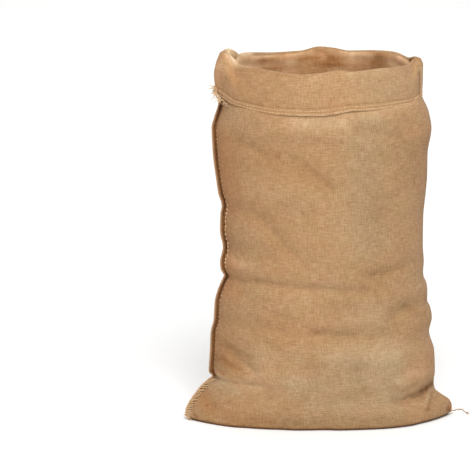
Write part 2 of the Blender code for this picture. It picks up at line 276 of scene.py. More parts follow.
# %% [markdown]
# ## Jute twine
#
# The seams are sewn with a loose two-ply jute twine, paler than the cloth because it is newer and
# less handled. Its finish is drawn along the tube: a slanting line of painted shade each half
# turn, where one ply dips behind the other, and fine streaks for the fibres. An image could be
# wrapped round it, but a pattern that is worked out stays sharp on a tube of any length. The twine
# is rubbed pale where it stands out, dusty and painted darker for its shade in the groove of the
# seam, and greyest at its loose end.

# %% The twine material
TWIST = 7 * MM  # a full turn of one ply round the other
PLY_LINE = 0.30  # how much darker the line between the plies is: painted shade where one ply dips behind the other
FIBRES_ROUND = 14.0  # changes of shade once round the twine
FIBRES_SLANT = 2000.0  # the same for each metre along it, which makes them slant
FIBRES_LONG = 260.0  # changes of shade per metre along a fibre, about 4 mm each
HANDLED = 120.0  # changes per metre from cleaner to dirtier twine, about 8 mm each
PLY_RELIEF = 0.4 * MM


def jute_twine(name, dark, middle, pale):
    """Twine whose UV map has u along it in metres and v round it, from 0 to 1.

    The line between the plies lies where the sine of pi (u / TWIST + v) is 0. The fibres
    are a noise read at (14 v + 2000 u, 260 u), which draws it out along the twist. They are
    drawn coarser than real fibres, so that they show."""
    made, add, shader = new_material(name)
    flat = add("UVMap", (), uv_map="along_twine")
    split = add("SeparateXYZ", (flat,)).node.outputs
    u, v = split[0], split[1]
    turns = weighted(add, None, (u, 2 / TWIST), (v, 2.0))
    angle = add("Math", (turns, math.pi / 2), operation="MULTIPLY")
    sine = add("Math", (angle,), operation="SINE")
    wave = add("Math", (sine,), operation="ABSOLUTE")
    across = weighted(add, None, (v, FIBRES_ROUND), (u, FIBRES_SLANT))
    along = add("Math", (u, FIBRES_LONG), operation="MULTIPLY")
    twisted = add("CombineXYZ", (across, along))
    fibres, patches = (
        add(
            "TexNoise",
            {"Vector": place, "Scale": scale, "Detail": detail, "Roughness": 0.55},
            noise_dimensions="2D",
        )
        for place, scale, detail in ((twisted, 1.0, 3.0), (flat, HANDLED, 2.0))
    )
    share = around_half(add, 0.5, (wave, PLY_LINE), (fibres, 0.8), (patches, 0.5))
    colour = set_stops(add("ValToRGB", (share,)), (0.0, dark), (1.0, pale), (0.5, middle))
    relief = weighted(add, None, (wave, PLY_RELIEF), (fibres, PLY_RELIEF))
    bump = add("Bump", {"Height": relief, "Strength": 0.7, "Distance": 1.0})
    fill(shader, {"Base Color": colour, "Normal": bump})
    dull(shader)
    return made


twine = jute_twine("jute_twine_two_ply", "#6f5034", "#ab8761", "#d6ba94")
pale_twine = jute_twine("jute_twine_rubbed", "#8c6a44", "#cba579", "#f0d9b4")
# dusty, and painted darker for the shade in the seam's groove, where it lies
dusty_shaded_twine = jute_twine("jute_twine_dusty_shaded", "#5c3d1e", "#a0743f", "#cb9a64")
grey_twine = jute_twine("jute_twine_weathered", "#463626", "#806c56", "#aa977e")
print("twine:", twine.name, pale_twine.name, dusty_shaded_twine.name, grey_twine.name)

# %% [markdown]
# ## The loose end of twine
#
# The bottom seam is sewn off at the right-hand corner, and the end of its twine is left loose.
# It leaves the seam level, hangs in a low arch and lies down on the floor, where its two plies
# have come apart. The plies are two tubes that wind round the route that the solid follows.

# %% The loose end
PLY = 0.66 * MM  # radius of one ply
PLY_APART = 0.56 * MM  # from the twine's middle to a ply's
UNRAVELLED = 2.3 * MM
PARTED = 0.74  # share of the way along where the plies start to part
THINNED = 0.85  # and where they start to thin
WISP = 0.3 * MM  # radius of a ply where it ends
FINE_STEPS = 400
TAIL_STEPS = 60
TAIL = (
    # x, y, z
    (0.2994, 0.0000, 0.0090),
    (0.3050, -0.0010, 0.0095),
    (0.3110, -0.0010, 0.0118),
    (0.3180, 0.0000, 0.0122),
    (0.3235, 0.0010, 0.0110),
    (0.3268, 0.0020, 0.0075),
    (0.3310, 0.0020, 0.0045),
    (0.3372, 0.0010, 0.0016),
)


def route(points, steps):
    """Evenly spaced points along a smooth line through a table of points, and its length."""
    table = np.array(points)
    fine = np.linspace(0, len(table) - 1, FINE_STEPS)
    line = np.stack([smooth(fine, np.arange(len(table)), table[:, i]) for i in range(3)], axis=1)
    run = np.concatenate([[0], np.cumsum(np.linalg.norm(np.diff(line, axis=0), axis=1))])
    at = np.linspace(0, run[-1], steps)
    return np.stack([np.interp(at, run, line[:, i]) for i in range(3)], axis=1), run[-1]


def two_plies(line, length):
    """Two helices round a line: the line plus PLY_APART at an angle of 2 pi s / TWIST.

    Over the last quarter they come apart sideways, one twice as far as the other, and then each
    thins to a wisp."""
    s = np.linspace(0, length, len(line))[:, None]
    along = unit(np.gradient(line, axis=0))
    side = unit(np.cross(along, [0, 0, 1.0]))
    up = np.cross(side, along)
    loose = ramp(s / length, PARTED, 1.0)
    angle = 2 * np.pi * s / TWIST
    apart = mix(PLY_APART, UNRAVELLED, loose)
    out = apart * (np.cos(angle) * side + np.sin(angle) * up * (1 - loose))
    thin = mix(PLY, WISP, ramp(s / length, THINNED, 1.0))[:, 0]
    return np.stack([line + out, line - out * mix(1, 0.5, loose)]), np.stack([thin, thin])


tail_line, tail_length = route(TAIL, TAIL_STEPS)
tail_paths, tail_radii = two_plies(tail_line, tail_length)
tail = tubes("loose_twine_end", tail_paths, tail_radii, 8)
tail.data.materials.append(grey_twine)
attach(tail, "root")
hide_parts("twine_tail")
print("loose twine:", round(tail_length / MM, 1), "mm")

# %% [markdown]
# ## The sack's sizes
#
# EDGES is the outline seen from the front: the seam allowance's outer edge on the left and the
# folded edge on the right. SECTIONS says how deep the sack is at each height and how pointed its
# two ends are, CUFF does the same for the turned-down cloth, and BRIM gives the uneven rim and
# hem. They started as the values that the solid was made from, so the cloth follows it, and some
# were then moved, mostly by a few millimetres. The largest moves are 15 mm at the front of the
# foot, 16 mm at its corner under the seam, and 18 mm where the rim dips beside the corner of the
# mouth over the seam.

# %% Sizes
RIM = 0.810  # the rim's and the wall's middle heights, and how far down the cuff reaches
WALL_TOP = 0.800
CUFF_HEIGHT = 0.095
RISE_FROM = 0.690  # height where the wall starts to follow the uneven rim
CLOTH = 1.5 * MM
SLIT = 1.2 * MM  # half gap left inside where front and back meet
FLANGE_WIDTH = 8.6 * MM  # the seam allowance stands out this far
FLANGE_CURL = 14 * MM  # how far the seam allowance's edge rolls to the front
FLANGE_SWAY = 0.25  # the roll is this share tighter and looser in turn, once in each wave
FLANGE_WAVE = 95 * MM
FLANGE_FADE = (0.712, 0.748)  # heights between which it goes back into the wall
FLANGE_FOOT = (0.085, 0.125)  # the curl fades out below, on the corner
HEM_SHARE = 0.155  # the hem's height, as a share of the cuff's
HEM_EXTRA = 1.9 * MM  # how much thicker the hem is
HEM_GROOVE = 0.9 * MM  # how deep its stitches pull it in
HEM_FADE = (0.170, 0.212)  # x between which the hem thins out to the folded end
FOLD_FADE = 8  # folds fade by this power of the distance from the middle
SEAM_LENGTH = 0.93  # of the bottom seam, as a share of the base's length
SQUEEZE = 0.70  # how much of the mouth's depth is pinched away at its two corners
SQUEEZE_WALL = (0.745, 0.795)  # heights over which the pinch grows on the wall
SQUEEZE_CUFF = (0.0, 0.35)  # shares of the cuff over which it fades
CORNER_REACH = 13 * MM
MOUTH_CORNERS = (-0.209, 0.213)  # x of both

EDGES = (
    # height, seam_x, fold_x
    (0.000, -0.2940, 0.2880),
    (0.010, -0.3030, 0.2990),
    (0.020, -0.3020, 0.3000),
    (0.034, -0.2960, 0.2950),
    (0.047, -0.2870, 0.2770),
    (0.060, -0.2770, 0.2612),
    (0.075, -0.2640, 0.2582),
    (0.088, -0.2490, 0.2590),
    (0.095, -0.2420, 0.2600),
    (0.105, -0.2485, 0.2605),
    (0.150, -0.2460, 0.2585),
    (0.195, -0.2440, 0.2465),
    (0.228, -0.2370, 0.2525),
    (0.250, -0.2360, 0.2485),
    (0.265, -0.2350, 0.2415),
    (0.290, -0.2290, 0.2418),
    (0.307, -0.2225, 0.2392),
    (0.319, -0.2170, 0.2335),
    (0.327, -0.2140, 0.2322),
    (0.332, -0.2165, 0.2317),
    (0.340, -0.2215, 0.2321),
    (0.355, -0.2230, 0.2332),
    (0.390, -0.2165, 0.2307),
    (0.430, -0.2230, 0.2305),
    (0.465, -0.2220, 0.2312),
    (0.485, -0.2190, 0.2330),
    (0.515, -0.2270, 0.2360),
    (0.555, -0.2330, 0.2388),
    (0.600, -0.2385, 0.2392),
    (0.660, -0.2416, 0.2474),
    (0.685, -0.2360, 0.2435),
    (0.705, -0.2290, 0.2380),
    (0.720, -0.2245, 0.2300),
    (0.733, -0.2190, 0.2245),
    (0.760, -0.2120, 0.2170),
    (0.800, -0.2080, 0.2120),
)

SECTIONS = (
    # height, front_y, back_y, seam_y, fold_y, seam_full, seam_round, fold_full, fold_round
    (0.000, -0.1365, 0.124, -0.049, 0.000, 2.5, 1.08, 4.0, 1.05),
    (0.005, -0.1418, 0.130, -0.047, 0.000, 2.5, 1.06, 4.0, 1.05),
    (0.018, -0.1442, 0.136, -0.043, 0.000, 2.5, 1.02, 3.8, 1.05),
    (0.040, -0.1450, 0.139, -0.034, 0.000, 2.5, 1.10, 3.4, 1.15),
    (0.075, -0.1440, 0.141, -0.022, 0.000, 2.4, 1.35, 2.8, 1.50),
    (0.120, -0.1450, 0.142, -0.016, 0.000, 2.3, 1.60, 2.4, 1.85),
    (0.300, -0.1420, 0.140, -0.008, 0.000, 2.3, 1.70, 2.3, 1.95),
    (0.480, -0.1380, 0.137, -0.004, 0.000, 2.3, 1.65, 2.3, 1.90),
    (0.640, -0.1380, 0.137, 0.000, 0.002, 2.3, 1.80, 2.3, 1.80),
    (0.700, -0.1390, 0.137, 0.002, 0.003, 2.4, 1.88, 2.4, 1.80),
    (0.722, -0.1390, 0.137, 0.002, 0.003, 2.4, 1.98, 2.4, 1.86),
    (0.752, -0.1300, 0.128, 0.004, 0.004, 2.3, 1.40, 2.3, 1.42),
    (0.800, -0.1240, 0.124, 0.006, 0.004, 2.2, 0.90, 2.2, 0.95),
)

CUFF = (
    # share, seam_x, fold_x, front_y, back_y, seam_full, seam_round, fold_full, fold_round
    (0.00, -0.2225, 0.2215, -0.1300, 0.1300, 2.2, 0.95, 2.2, 1.05),
    (0.15, -0.2320, 0.2275, -0.1335, 0.1335, 2.2, 1.05, 2.2, 1.20),
    (0.50, -0.2375, 0.2275, -0.1385, 0.1370, 2.3, 1.30, 2.3, 1.45),
    (1.00, -0.2335, 0.2258, -0.1445, 0.1425, 2.4, 1.34, 2.4, 1.66),
)

BRIM = (
    # x, front_rim, back_rim, front_hem, back_hem
    (-0.2350, 0.8180, 0.8180, 0.7420, 0.7420),
    (-0.2200, 0.8320, 0.8320, 0.7320, 0.7350),
    (-0.2105, 0.8340, 0.8372, 0.7290, 0.7310),
    (-0.2035, 0.8215, 0.8290, 0.7260, 0.7280),
    (-0.1975, 0.8110, 0.8125, 0.7243, 0.7265),
    (-0.1915, 0.8015, 0.8090, 0.7232, 0.7250),
    (-0.1840, 0.7980, 0.8150, 0.7225, 0.7240),
    (-0.1780, 0.8000, 0.8160, 0.7218, 0.7235),
    (-0.1600, 0.8040, 0.8147, 0.7190, 0.7220),
    (-0.1000, 0.8024, 0.8096, 0.7140, 0.7170),
    (-0.0450, 0.8010, 0.8115, 0.7135, 0.7150),
    (0.0000, 0.8065, 0.8218, 0.7137, 0.7190),
    (0.0300, 0.8108, 0.8195, 0.7175, 0.7220),
    (0.0650, 0.8072, 0.8139, 0.7235, 0.7220),
    (0.1200, 0.8077, 0.8177, 0.7238, 0.7190),
    (0.1600, 0.8047, 0.8190, 0.7252, 0.7220),
    (0.1800, 0.8040, 0.8160, 0.7256, 0.7270),
    (0.1950, 0.8022, 0.8100, 0.7254, 0.7310),
    (0.2050, 0.8085, 0.8080, 0.7250, 0.7325),
    (0.2140, 0.8205, 0.8185, 0.7262, 0.7325),
    (0.2250, 0.8160, 0.8160, 0.7300, 0.7320),
)

# The seam allowance, from the body (0) out to its rolled edge (1).
FLANGE = (
    # share, half_mm
    (0.00, 1.3),
    (0.30, 1.2),
    (0.60, 1.3),
    (0.78, 1.6),
    (0.88, 1.8),
    (0.96, 1.25),
    (1.00, 0.0),
)
# Shares of the way out where its rows of points lie.
FLANGE_STATIONS = (1.0, 0.985, 0.95, 0.89, 0.82, 0.72, 0.6, 0.45, 0.3, 0.15)
print("outline:", len(EDGES), "heights, sections:", len(SECTIONS), "heights")

# %% [markdown]
# ## Folds
#
# Empty cloth that stands up sags into soft diagonal troughs. Each row is one trough along a line
# on the front, the back or the cuff: how deep it is and how far it spreads. A negative depth is
# a swelling. A cloth simulation could find folds of its own, but not these, so they are listed
# one by one.

# %% Folds and creases
# By cloth: x1, z1, x2, z2, depth, reach, all in millimetres.
FOLDS = {
    "front": (
        # the solid's main folds, most of them shallower here
        (-190, 655, -125, 625, 3.5, 18),
        (-85, 615, 20, 545, 4.5, 19),
        (-195, 490, -130, 472, 3, 18),
        (-130, 472, -65, 400, 4, 18),
        (-208, 328, -196, 328, -4.5, 8),
        (-182, 328, -172, 328, -2, 8),
        (-140, 330, 100, 312, 3, 15),
        (-165, 240, -60, 215, 4, 18),
        (-10, 213, 165, 222, 5.5, 17),
        (105, 345, 225, 378, 4, 16),
        (155, 248, 240, 292, 8, 15),
        (100, 460, 215, 550, 3, 19),
        (80, 680, 180, 655, 4, 16),
        # the crease over the corner at the folded end, and the dimples round it
        (229, 68, 256, 79, 16, 7.5),
        (188, 54, 229, 68, 6.5, 7),
        (192, 71, 236, 87, -3, 7),
        (165, 60, 196, 70, 3, 9),
        (205, 62, 250, 66, 7, 11),
        (190, 98, 250, 102, -5, 14),
        (250, 66, 239, 46, -4, 6),
        (240, 66, 232, 56, 2.5, 5),
        (250, 55, 241, 28, 3.5, 5),
        (172, 58, 184, 53, 2.5, 8),
        (262, 50, 268, 30, 2, 6),
        (208, 52, 216, 30, -2.5, 10),
        # the foot, and the notches beside the seam
        (-225, 175, -150, 130, 8, 13),
        (45, 4, 200, 4, -6, 22),
        (-160, 4, -90, 4, 5, 22),
        (-226, 96, -212, 96, -7, 7.5),
        (-199, 96.5, -188, 96.5, -3.5, 7.5),
        (-174, 97, -165, 97, -1.6, 7.5),
        # soft swellings and dips low down and in the middle
        (85, 135, 92, 60, 4.5, 17),
        (-25, 140, -30, 70, 3, 17),
        (-110, 680, 40, 672, -5, 22),
        (30, 160, 140, 160, -6, 35),
        (-130, 130, -60, 110, -5, 35),
        (20, 420, 80, 420, -5, 60),
        # under the cuff, then the smaller creases from the top down
        (-200, 706, 200, 712, -3.5, 18),
        (-179, 646, -140, 625, 1.5, 8),
        (-184, 643, -113, 612, 1.5, 9),
        (-48, 608, 12, 559, 2, 10),
        (-131, 471, -65, 400, 1.5, 8),
        (-213, 318, -146, 324, 1, 8),
        (-146, 332, -25, 318, 3, 9),
        (-25, 321, 97, 315, 4, 12),
        (113, 348, 227, 363, 4, 10),
        (184, 690, 236, 637, 4, 12),
        (201, 631, 232, 547, 5, 12),
        (186, 270, 238, 232, 6, 9),
        (-13, 221, 159, 204, 2, 8),
        (20, 178, 189, 164, -4, 20),
        (-179, 299, 2, 215, 2.5, 13),
        (-229, 183, -157, 158, 4, 9),
        (-229, 143, -179, 127, 4, 9),
        (-181, 230, -95, 178, 2.5, 11),
        (70, 133, 99, 74, 2.5, 11),
        (-35, 139, -13, 93, 2.5, 10),
        (-150, 560, -20, 520, -3, 22),
        (-215, 420, -170, 300, 3, 10),
        (175, 480, 160, 300, -2.5, 20),
    ),
    "back": (
        (-180, 600, 20, 520, 8, 19),
        (60, 610, 180, 540, 7, 19),
        (110, 440, 215, 385, 7, 17),
        (-210, 335, 110, 305, 7, 16),
        (50, 215, 215, 250, 8, 17),
        (-190, 190, -60, 150, 8, 18),
        (-40, 420, 40, 420, -6, 55),
        (-200, 706, 200, 712, -3, 18),
    ),
    "cuff": (
        (-205, 800, -150, 765, 2.5, 15),
        (40, 745, 170, 785, 2, 15),
        (-60, 775, 10, 775, -1.5, 25),
        (218.8, 790, 218, 738, 5, 3),
    ),
}


def bells(x, z, rows):
    """The sum of soft ridges at (x, z): each row's amount times a bell curve of the distance to
    its line, which is e to the minus (distance / reach) squared."""
    x, z = x / MM, z / MM
    total = np.zeros(np.broadcast(x, z).shape)
    for x1, z1, x2, z2, amount, reach in rows:
        dx, dz = x2 - x1, z2 - z1
        along = np.clip(((x - x1) * dx + (z - z1) * dz) / (dx * dx + dz * dz), 0, 1)
        away = (x - x1 - along * dx) ** 2 + (z - z1 - along * dz) ** 2
        total = total + amount * np.exp(-away / reach**2)
    return total


print("folds:", {cloth: len(rows) for cloth, rows in FOLDS.items()})

# %% [markdown]
# ## Wear, dirt, and painted light and shade
#
# A used sack isn't one colour. Where it rubs it is pale, and its creases and ends hold dust, so
# they are darker and redder. Many rows also paint light and shade into the colour: painted shade
# in creases, in holes and along the foot, painted light that softens the shade under the hem and
# inside the mouth, painted highlights on the rim, and painted warm light beside the seam. Each row
# is a stretch of the cloth with its lightness and redness and how far it spreads. The same bell
# curve as the folds' lays it on, and the mesh carries the sums to the material. Painting an image
# by hand would do the same, but couldn't be changed by one number. The inside also has level
# streaks, drawn from a seeded generator.

# %% Wear, dirt and painted light
# By cloth: x1, z1, x2, z2 in millimetres, lightness and redness in hundredths, reach in
# millimetres.
WEAR_AND_PAINTED_LIGHT = {
    "front": (
        # rubbed pale under the cuff, with painted light where the cloth swells out under it
        (-60, 700, 45, 700, 16, -8, 20),
        (60, 705, 120, 700, 8, -4, 16),
        # redder beside the seam: painted warm bounce light
        (-225, 640, -205, 500, -2, 40, 40),
        (-225, 420, -215, 300, -1, 42, 38),
        (-225, 220, -215, 150, -1, 34, 34),
        # dust and painted shade in the folds, with paler and greyer patches between them, partly
        # painted light
        (215, 620, 220, 480, -4, -4, 34),
        (-110, 615, 20, 560, -2, 3, 18),
        (-20, 590, 12, 560, -3, 2, 12),
        (-200, 478, -130, 475, -3, 4, 14),
        (-215, 326, -140, 334, -3, 4, 10),
        (120, 350, 220, 372, -3, 0, 12),
        (185, 272, 238, 250, -4, 0, 12),
        (-10, 226, 160, 216, -3, 0, 11),
        (20, 160, 160, 150, 7, -36, 38),
        (105, 600, 115, 330, -8, 0, 50),
        (170, 640, 180, 560, -7, -10, 26),
        (-190, 365, -180, 362, 9, 16, 12),
        (-150, 535, -110, 530, 8, 0, 24),
        (0, 290, 60, 290, -7, 0, 20),
        (-180, 640, -178, 640, -9, 0, 20),
        (185, 100, 187, 100, 8, 0, 16),
        (100, 650, 100, 430, 0, -44, 50),
        (-226, 700, -216, 300, 0, 24, 20),
        (-60, 110, 160, 100, 4, -44, 26),
        (-20, 60, 170, 60, 1, -46, 22),
        (-80, 22, 180, 22, -9, -34, 14),
        (-130, 170, -50, 165, 6, -26, 26),
        # painted light that softens the line of shade under the hem
        (40, 718, 70, 721.5, 10, 0, 3.5),
        (45, 714, 60, 708, -8, 0, 7),
        (80, 721.5, 140, 722.8, 32, 0, 3.5),
        (150, 723, 200, 723.5, 6, 0, 3.5),
        (-130, 125, -60, 110, 6, -6, 26),
        (120, 250, 180, 130, 2, -12, 36),
        # painted shade in the crease over the corner at the folded end, and painted light beside
        # it
        (241, 71.5, 254, 77, -36, 10, 5.5),
        (222, 67, 230, 69, 12, 0, 6),
        (192, 53, 228, 66, -4, -12, 7),
        (176, 66, 208, 73, 16, 0, 8),
        (170, 60, 200, 68, -10, 8, 7),
        (218, 60, 240, 64, -10, 10, 7),
        (249, 63, 241, 48, 12, -30, 5),
        (251, 54, 242, 30, -22, 5, 4),
        (172, 57, 184, 53, -12, 5, 6),
        # where the twine comes out of the corner
        (291, 18, 296, 8, -30, 70, 5),
        # the foot, with painted shadow along its bottom edge, the notches with painted shade in
        # their holes, and the corner at the seam's end
        (-245, 180, -160, 160, -5, 5, 12),
        (-245, 145, -180, 128, -9, 30, 12),
        (-200, 20, 200, 10, -6, 2, 14),
        (-290, 0, 290, 0, -90, 10, 4),
        (-280, 13, -278, 11, -26, 40, 3.5),
        (-226, 106, -175, 92, 5, 30, 9),
        (-239, 106, -237, 99, -64, 60, 4),
        (-226.2, 114, -217.3, 110, -9, 40, 6),
        (-225, 147, -208, 142, -9, 15, 8),
        (-228, 104, -212, 100, 20, -20, 6),
        (-178, 99, -160, 95, 15, 0, 6),
        (-145, 94, -130, 93, 10, 0, 6),
        (-235, 92, -190, 82, 6, -30, 15),
        (-262, 64, -240, 40, -5, 20, 16),
        (-268, 55, -250, 30, 2, 40, 16),
        (-300, 22, -294, 12, 14, -40, 7),
        # broad changes, and the last small patches, several of them painted light where the cloth
        # lies in shade
        (60, 600, 90, 380, 2, -2, 60),
        (-100, 300, 90, 280, 5, 0, 50),
        (-190, 130, -150, 120, 6, 4, 34),
        (140, 726, 205, 732, 12, 0, 5),
        (90, 708, 140, 710, 4, -8, 9),
        (100, 600, 115, 60, 0, -16, 90),
        (-222, 372, -160, 366, 11, 6, 13),
        (205, 118, 228, 112, 12, 0, 9),
    ),
    # both sides of the cuff, then its front alone
    "cuff": (
        # painted light that softens the shade under the hem's lower edge
        (60, 722, 205, 725, 30, 0, 3),
        (100, 780, 150, 770, 0, -30, 40),
        (-20, 770, 60, 765, 4, 0, 40),
        (-215, 780, -190, 760, -1, 8, 30),
        (170, 780, 200, 770, 3, -6, 30),
        # painted light on the left end, and painted highlights on the rim's roll and on the knob
        # over the seam
        (-232, 800, -232, 755, 24, 45, 11),
        (-207, 836, -196, 822, 30, 0, 7),
        (-210.5, 846, -203.5, 838, 80, -30, 8),
        (-224, 806, -208, 798, 16, 4, 10),
        (-207, 822, -192, 806, 42, 0, 7),
        # painted highlights along the top of the rim
        (60, 808, 140, 808, 7, -4, 14),
        (-190, 818, -160, 816, 46, -10, 9),
    ),
    "cuff_front": (
        # painted shade in the crease down the folded end, and painted light beside it
        (218.8, 790, 218, 738, -34, 30, 1.8),
        (224, 795, 224, 745, 14, -30, 3.5),
        # painted light that softens the shade under the hem
        (-110, 716.5, -50, 714, 12, 20, 3),
        (-50, 714, 20, 714, 24, 20, 3),
        (30, 718, 60, 722.5, 38, 0, 3),
    ),
    "inside": (
        # warmer all over and lifted by painted light, then bands of painted light and painted
        # shade under the rim
        (-200, 790, 200, 790, 24, 66, 60),
        (-180, 810, 120, 810, 16, -5, 9),
        (-150, 808, -118, 806, 6, 0, 9),
        (50, 812, 70, 808, 26, 10, 9),
        (78, 812, 112, 806, 34, 0, 9),
        (128, 812, 150, 806, -22, 20, 9),
        (-66, 808, -20, 812, 26, 0, 8),
        (-75, 790, -60, 786, 20, 0, 9),
        (-40, 797, -25, 797, 20, 0, 8),
        (-8, 809, 12, 809, -22, 0, 6),
        (-10, 797.5, 10, 796.5, 20, 0, 6),
        (26, 796, 40, 790, -20, 8, 8),
        (72, 796, 108, 790, 30, 0, 9),
        (160, 790, 172, 784, 30, 24, 9),
        (-136, 794, -126, 790, 16, 0, 7),
        (178, 808, 192, 802, 92, 60, 8),
        (-165, 786, -115, 782, 18, 20, 9),
        (22, 790, 50, 778, -14, 10, 12),
        (-190, 800, -165, 785, 84, 30, 14),
        (-202, 830, -186, 800, 60, 0, 8),
        (-148, 800, -142, 780, 40, 16, 12),
        (-110, 805, -75, 795, 24, -6, 24),
        (155, 800, 172, 785, 60, 70, 12),
        (-128, 800, -130, 760, -14, 4, 8),
        (-30, 800, 20, 770, -16, 6, 18),
        (110, 790, 120, 760, -10, 10, 17),
        (150, 815, 190, 810, 14, -8, 14),
        (60, 800, 70, 780, 12, -4, 16),
    ),
}
STREAKS = 60  # random ones, inside
CREASE_DUST_AND_SHADE = 0.4  # hundredths of lightness for each millimetre that the cloth is drawn in: dust and painted shade in the folds, and paler swellings
draws = np.random.default_rng(11)


def streaks(count):
    """Rows of wear for the inside: level streaks, each 20 to 60 mm long."""
    x, z = draws.uniform(-190, 150, count), draws.uniform(764, 812, count)
    end = x + draws.uniform(20, 60, count)
    end_z = z + draws.normal(0, 1.5, count)
    light, red = draws.normal(0, 12, count), draws.normal(0, 20, count)
    return tuple(zip(x, z, end, end_z, light, red, draws.uniform(2.5, 5, count)))


WEAR_AND_PAINTED_LIGHT["inside"] += streaks(STREAKS)


def wear_and_painted_light(cloth, x, z):
    """Lightness and redness of the cloth at (x, z): the bell curves of its rows, added up."""
    rows = WEAR_AND_PAINTED_LIGHT.get(cloth, ())
    both = [bells(x, z, [(*row[:4], row[i], row[6]) for row in rows]) for i in (4, 5)]
    return np.stack(both, axis=-1) / 100


print("patches of wear:", {cloth: len(rows) for cloth, rows in WEAR_AND_PAINTED_LIGHT.items()})

# %% [markdown]
# ## Small unevenness
#
# Between the folds that can be pointed at, slack cloth is never flat. About two hundred shallow
# dents, a fraction of a millimetre to a millimetre deep, are drawn from a seeded generator: most
# lie across the sack, as weft that has been crumpled does. A displaced noise would be quicker,
# but it lies the same way everywhere.

# %% Small unevenness
DENTS = 90  # on each side
DENTED = (
    # cloth, count, x either way, lowest z, highest z
    ("front", DENTS, 230, 40, 700),
    ("back", DENTS, 230, 40, 780),
    ("cuff", DENTS // 3, 200, 735, 800),
)
rng = np.random.default_rng(11)


def random_dents(count, x_reach, z_low, z_high):
    """Rows of the same kind as the folds', 16 to 70 mm long, in or (one in three) out."""
    x = rng.uniform(-x_reach, x_reach, count)
    z = rng.uniform(z_low, z_high, count)
    angle = rng.normal(0, 0.45, count)
    half = rng.uniform(8, 35, count)
    deep = rng.uniform(0.2, 0.9, count) * rng.choice([-1, 1, 1], count)
    reach = rng.uniform(6, 14, count)
    dx, dz = half * np.cos(angle), half * np.sin(angle)
    return tuple(zip(x - dx, z - dz, x + dx, z + dz, deep, reach))


ALL_FOLDS = {cloth: FOLDS[cloth] + random_dents(*rest) for cloth, *rest in DENTED}
print("with dents:", {cloth: len(rows) for cloth, rows in ALL_FOLDS.items()})

# %% [markdown]
# ## Plans of the sack
#
# A plan is a horizontal section. It has two halves, front and back, and each is a depth over x:
# a flattened oval whose ends are more or less pointed. The cuff's outer face has plans of its
# own, a little wider than the wall inside it.

# %% Plans
ENDS = ("seam_full", "seam_round", "fold_full", "fold_round")


def brim(kind, half, x):
    """Height of the uneven rim or hem of one half at x."""
    return read(BRIM, {"rim": 1, "hem": 3}[kind] + {"front": 0, "back": 1}[half], x)


def wall_plan(z):
    """The sack's section at each height in z, as columns of numbers. Its height function lifts
    the top rows, so that the rim comes out uneven."""
    z = np.asarray(z, float).reshape(-1, 1)
    names = ("front", "back", "seam_y", "fold_y", *ENDS)
    plan = {name: read(SECTIONS, i + 1, z) for i, name in enumerate(names)}
    flange = FLANGE_WIDTH * (1 - ramp(z, *FLANGE_FADE))
    plan.update(z=z, flange=flange, folded={"front": "front", "back": "back"})
    plan.update(squeeze=SQUEEZE * ramp(z, *SQUEEZE_WALL))
    plan.update(seam_x=read(EDGES, 1, z) + flange, fold_x=read(EDGES, 2, z))
    lift = ramp(z, RISE_FROM, WALL_TOP)
    plan.update(height=lambda half, x: z + lift * (brim("rim", half, x) - RIM))
    return plan


def cuff_plan(share, extra=0.0):
    """The cuff's outer face, by the share of the way from the rim to the hem."""
    share = np.asarray(share, float).reshape(-1, 1)
    names = ("seam_x", "fold_x", "front", "back", *ENDS)
    plan = {name: read(CUFF, i + 1, share) for i, name in enumerate(names)}
    for name, sign in {"seam_x": -1, "fold_x": 1, "front": -1, "back": 1}.items():
        plan[name] = plan[name] + sign * np.asarray(extra).reshape(-1, 1)
    plan.update(z=RIM - CUFF_HEIGHT * share, flange=np.zeros_like(share))
    plan.update(folded={"front": "cuff", "back": None})
    plan.update(squeeze=SQUEEZE * (1 - ramp(share, *SQUEEZE_CUFF)))
    plan.update(seam_y=read(SECTIONS, 3, WALL_TOP), fold_y=read(SECTIONS, 4, WALL_TOP))
    plan.update(height=lambda half, x: mix(brim("rim", half, x), brim("hem", half, x), share))
    return plan


def centre(plan, x):
    """y of the line between front and back at x: straight from the seam's to the fold's."""
    share = (x - plan["seam_x"]) / (plan["fold_x"] - plan["seam_x"])
    return mix(plan["seam_y"], plan["fold_y"], np.clip(share, 0, 1))


def squeezed(plan, x):
    """The mouth's two corners are pinched flat: 1 less a bell curve round each corner."""
    pinch = sum(np.exp(-(((x - corner) / CORNER_REACH) ** 2)) for corner in MOUTH_CORNERS)
    return 1 - plan["squeeze"] * pinch


def depth(plan, half, x, rise=0.0):
    """How far the cloth stands from the centre line.

    With n from 0 in the middle to 1 at an end, it is (1 - n^full)^(1/round) times the full
    depth, less the folds, which fade out at the ends."""
    middle = (plan["seam_x"] + plan["fold_x"]) / 2
    across = (x - middle) / (plan["fold_x"] - middle)
    near = np.clip(np.abs(across), 0, 1)
    seam = (1 - near ** plan["seam_full"]) ** (1 / plan["seam_round"])
    fold = (1 - near ** plan["fold_full"]) ** (1 / plan["fold_round"])
    full = np.abs(plan[half] - centre(plan, middle)) * squeezed(plan, x)
    drawn = MM * bells(x, plan["z"] + rise, ALL_FOLDS.get(plan["folded"][half], ()))
    return np.where(across < 0, seam, fold) * full - (1 - near**FOLD_FADE) * drawn


trial = wall_plan([0.12, 0.40])
print("depth at x = 0, in mm:", (depth(trial, "front", np.zeros((2, 1))) / MM).round().ravel())

# %% [markdown]
# ## Rings
#
# The cloth is closed round the sack, so it is built as rings: from the seam along the front to
# the fold, then along the back to the seam. Where the seam allowance stands out, the first
# columns of each half leave the body and run along it instead.

# %% Rings
COLUMNS = 134  # from the seam to the fold, both ends counted, on each half
ON_FLANGE = len(FLANGE_STATIONS)
HALVES = (("front", -1), ("back", 1))


def spread(low, high, count=COLUMNS):
    """Columns from low to high, closer together at both ends: half a cosine wave."""
    angle = np.linspace(0, np.pi, count)
    return (low + high) / 2 - (high - low) / 2 * np.cos(angle)


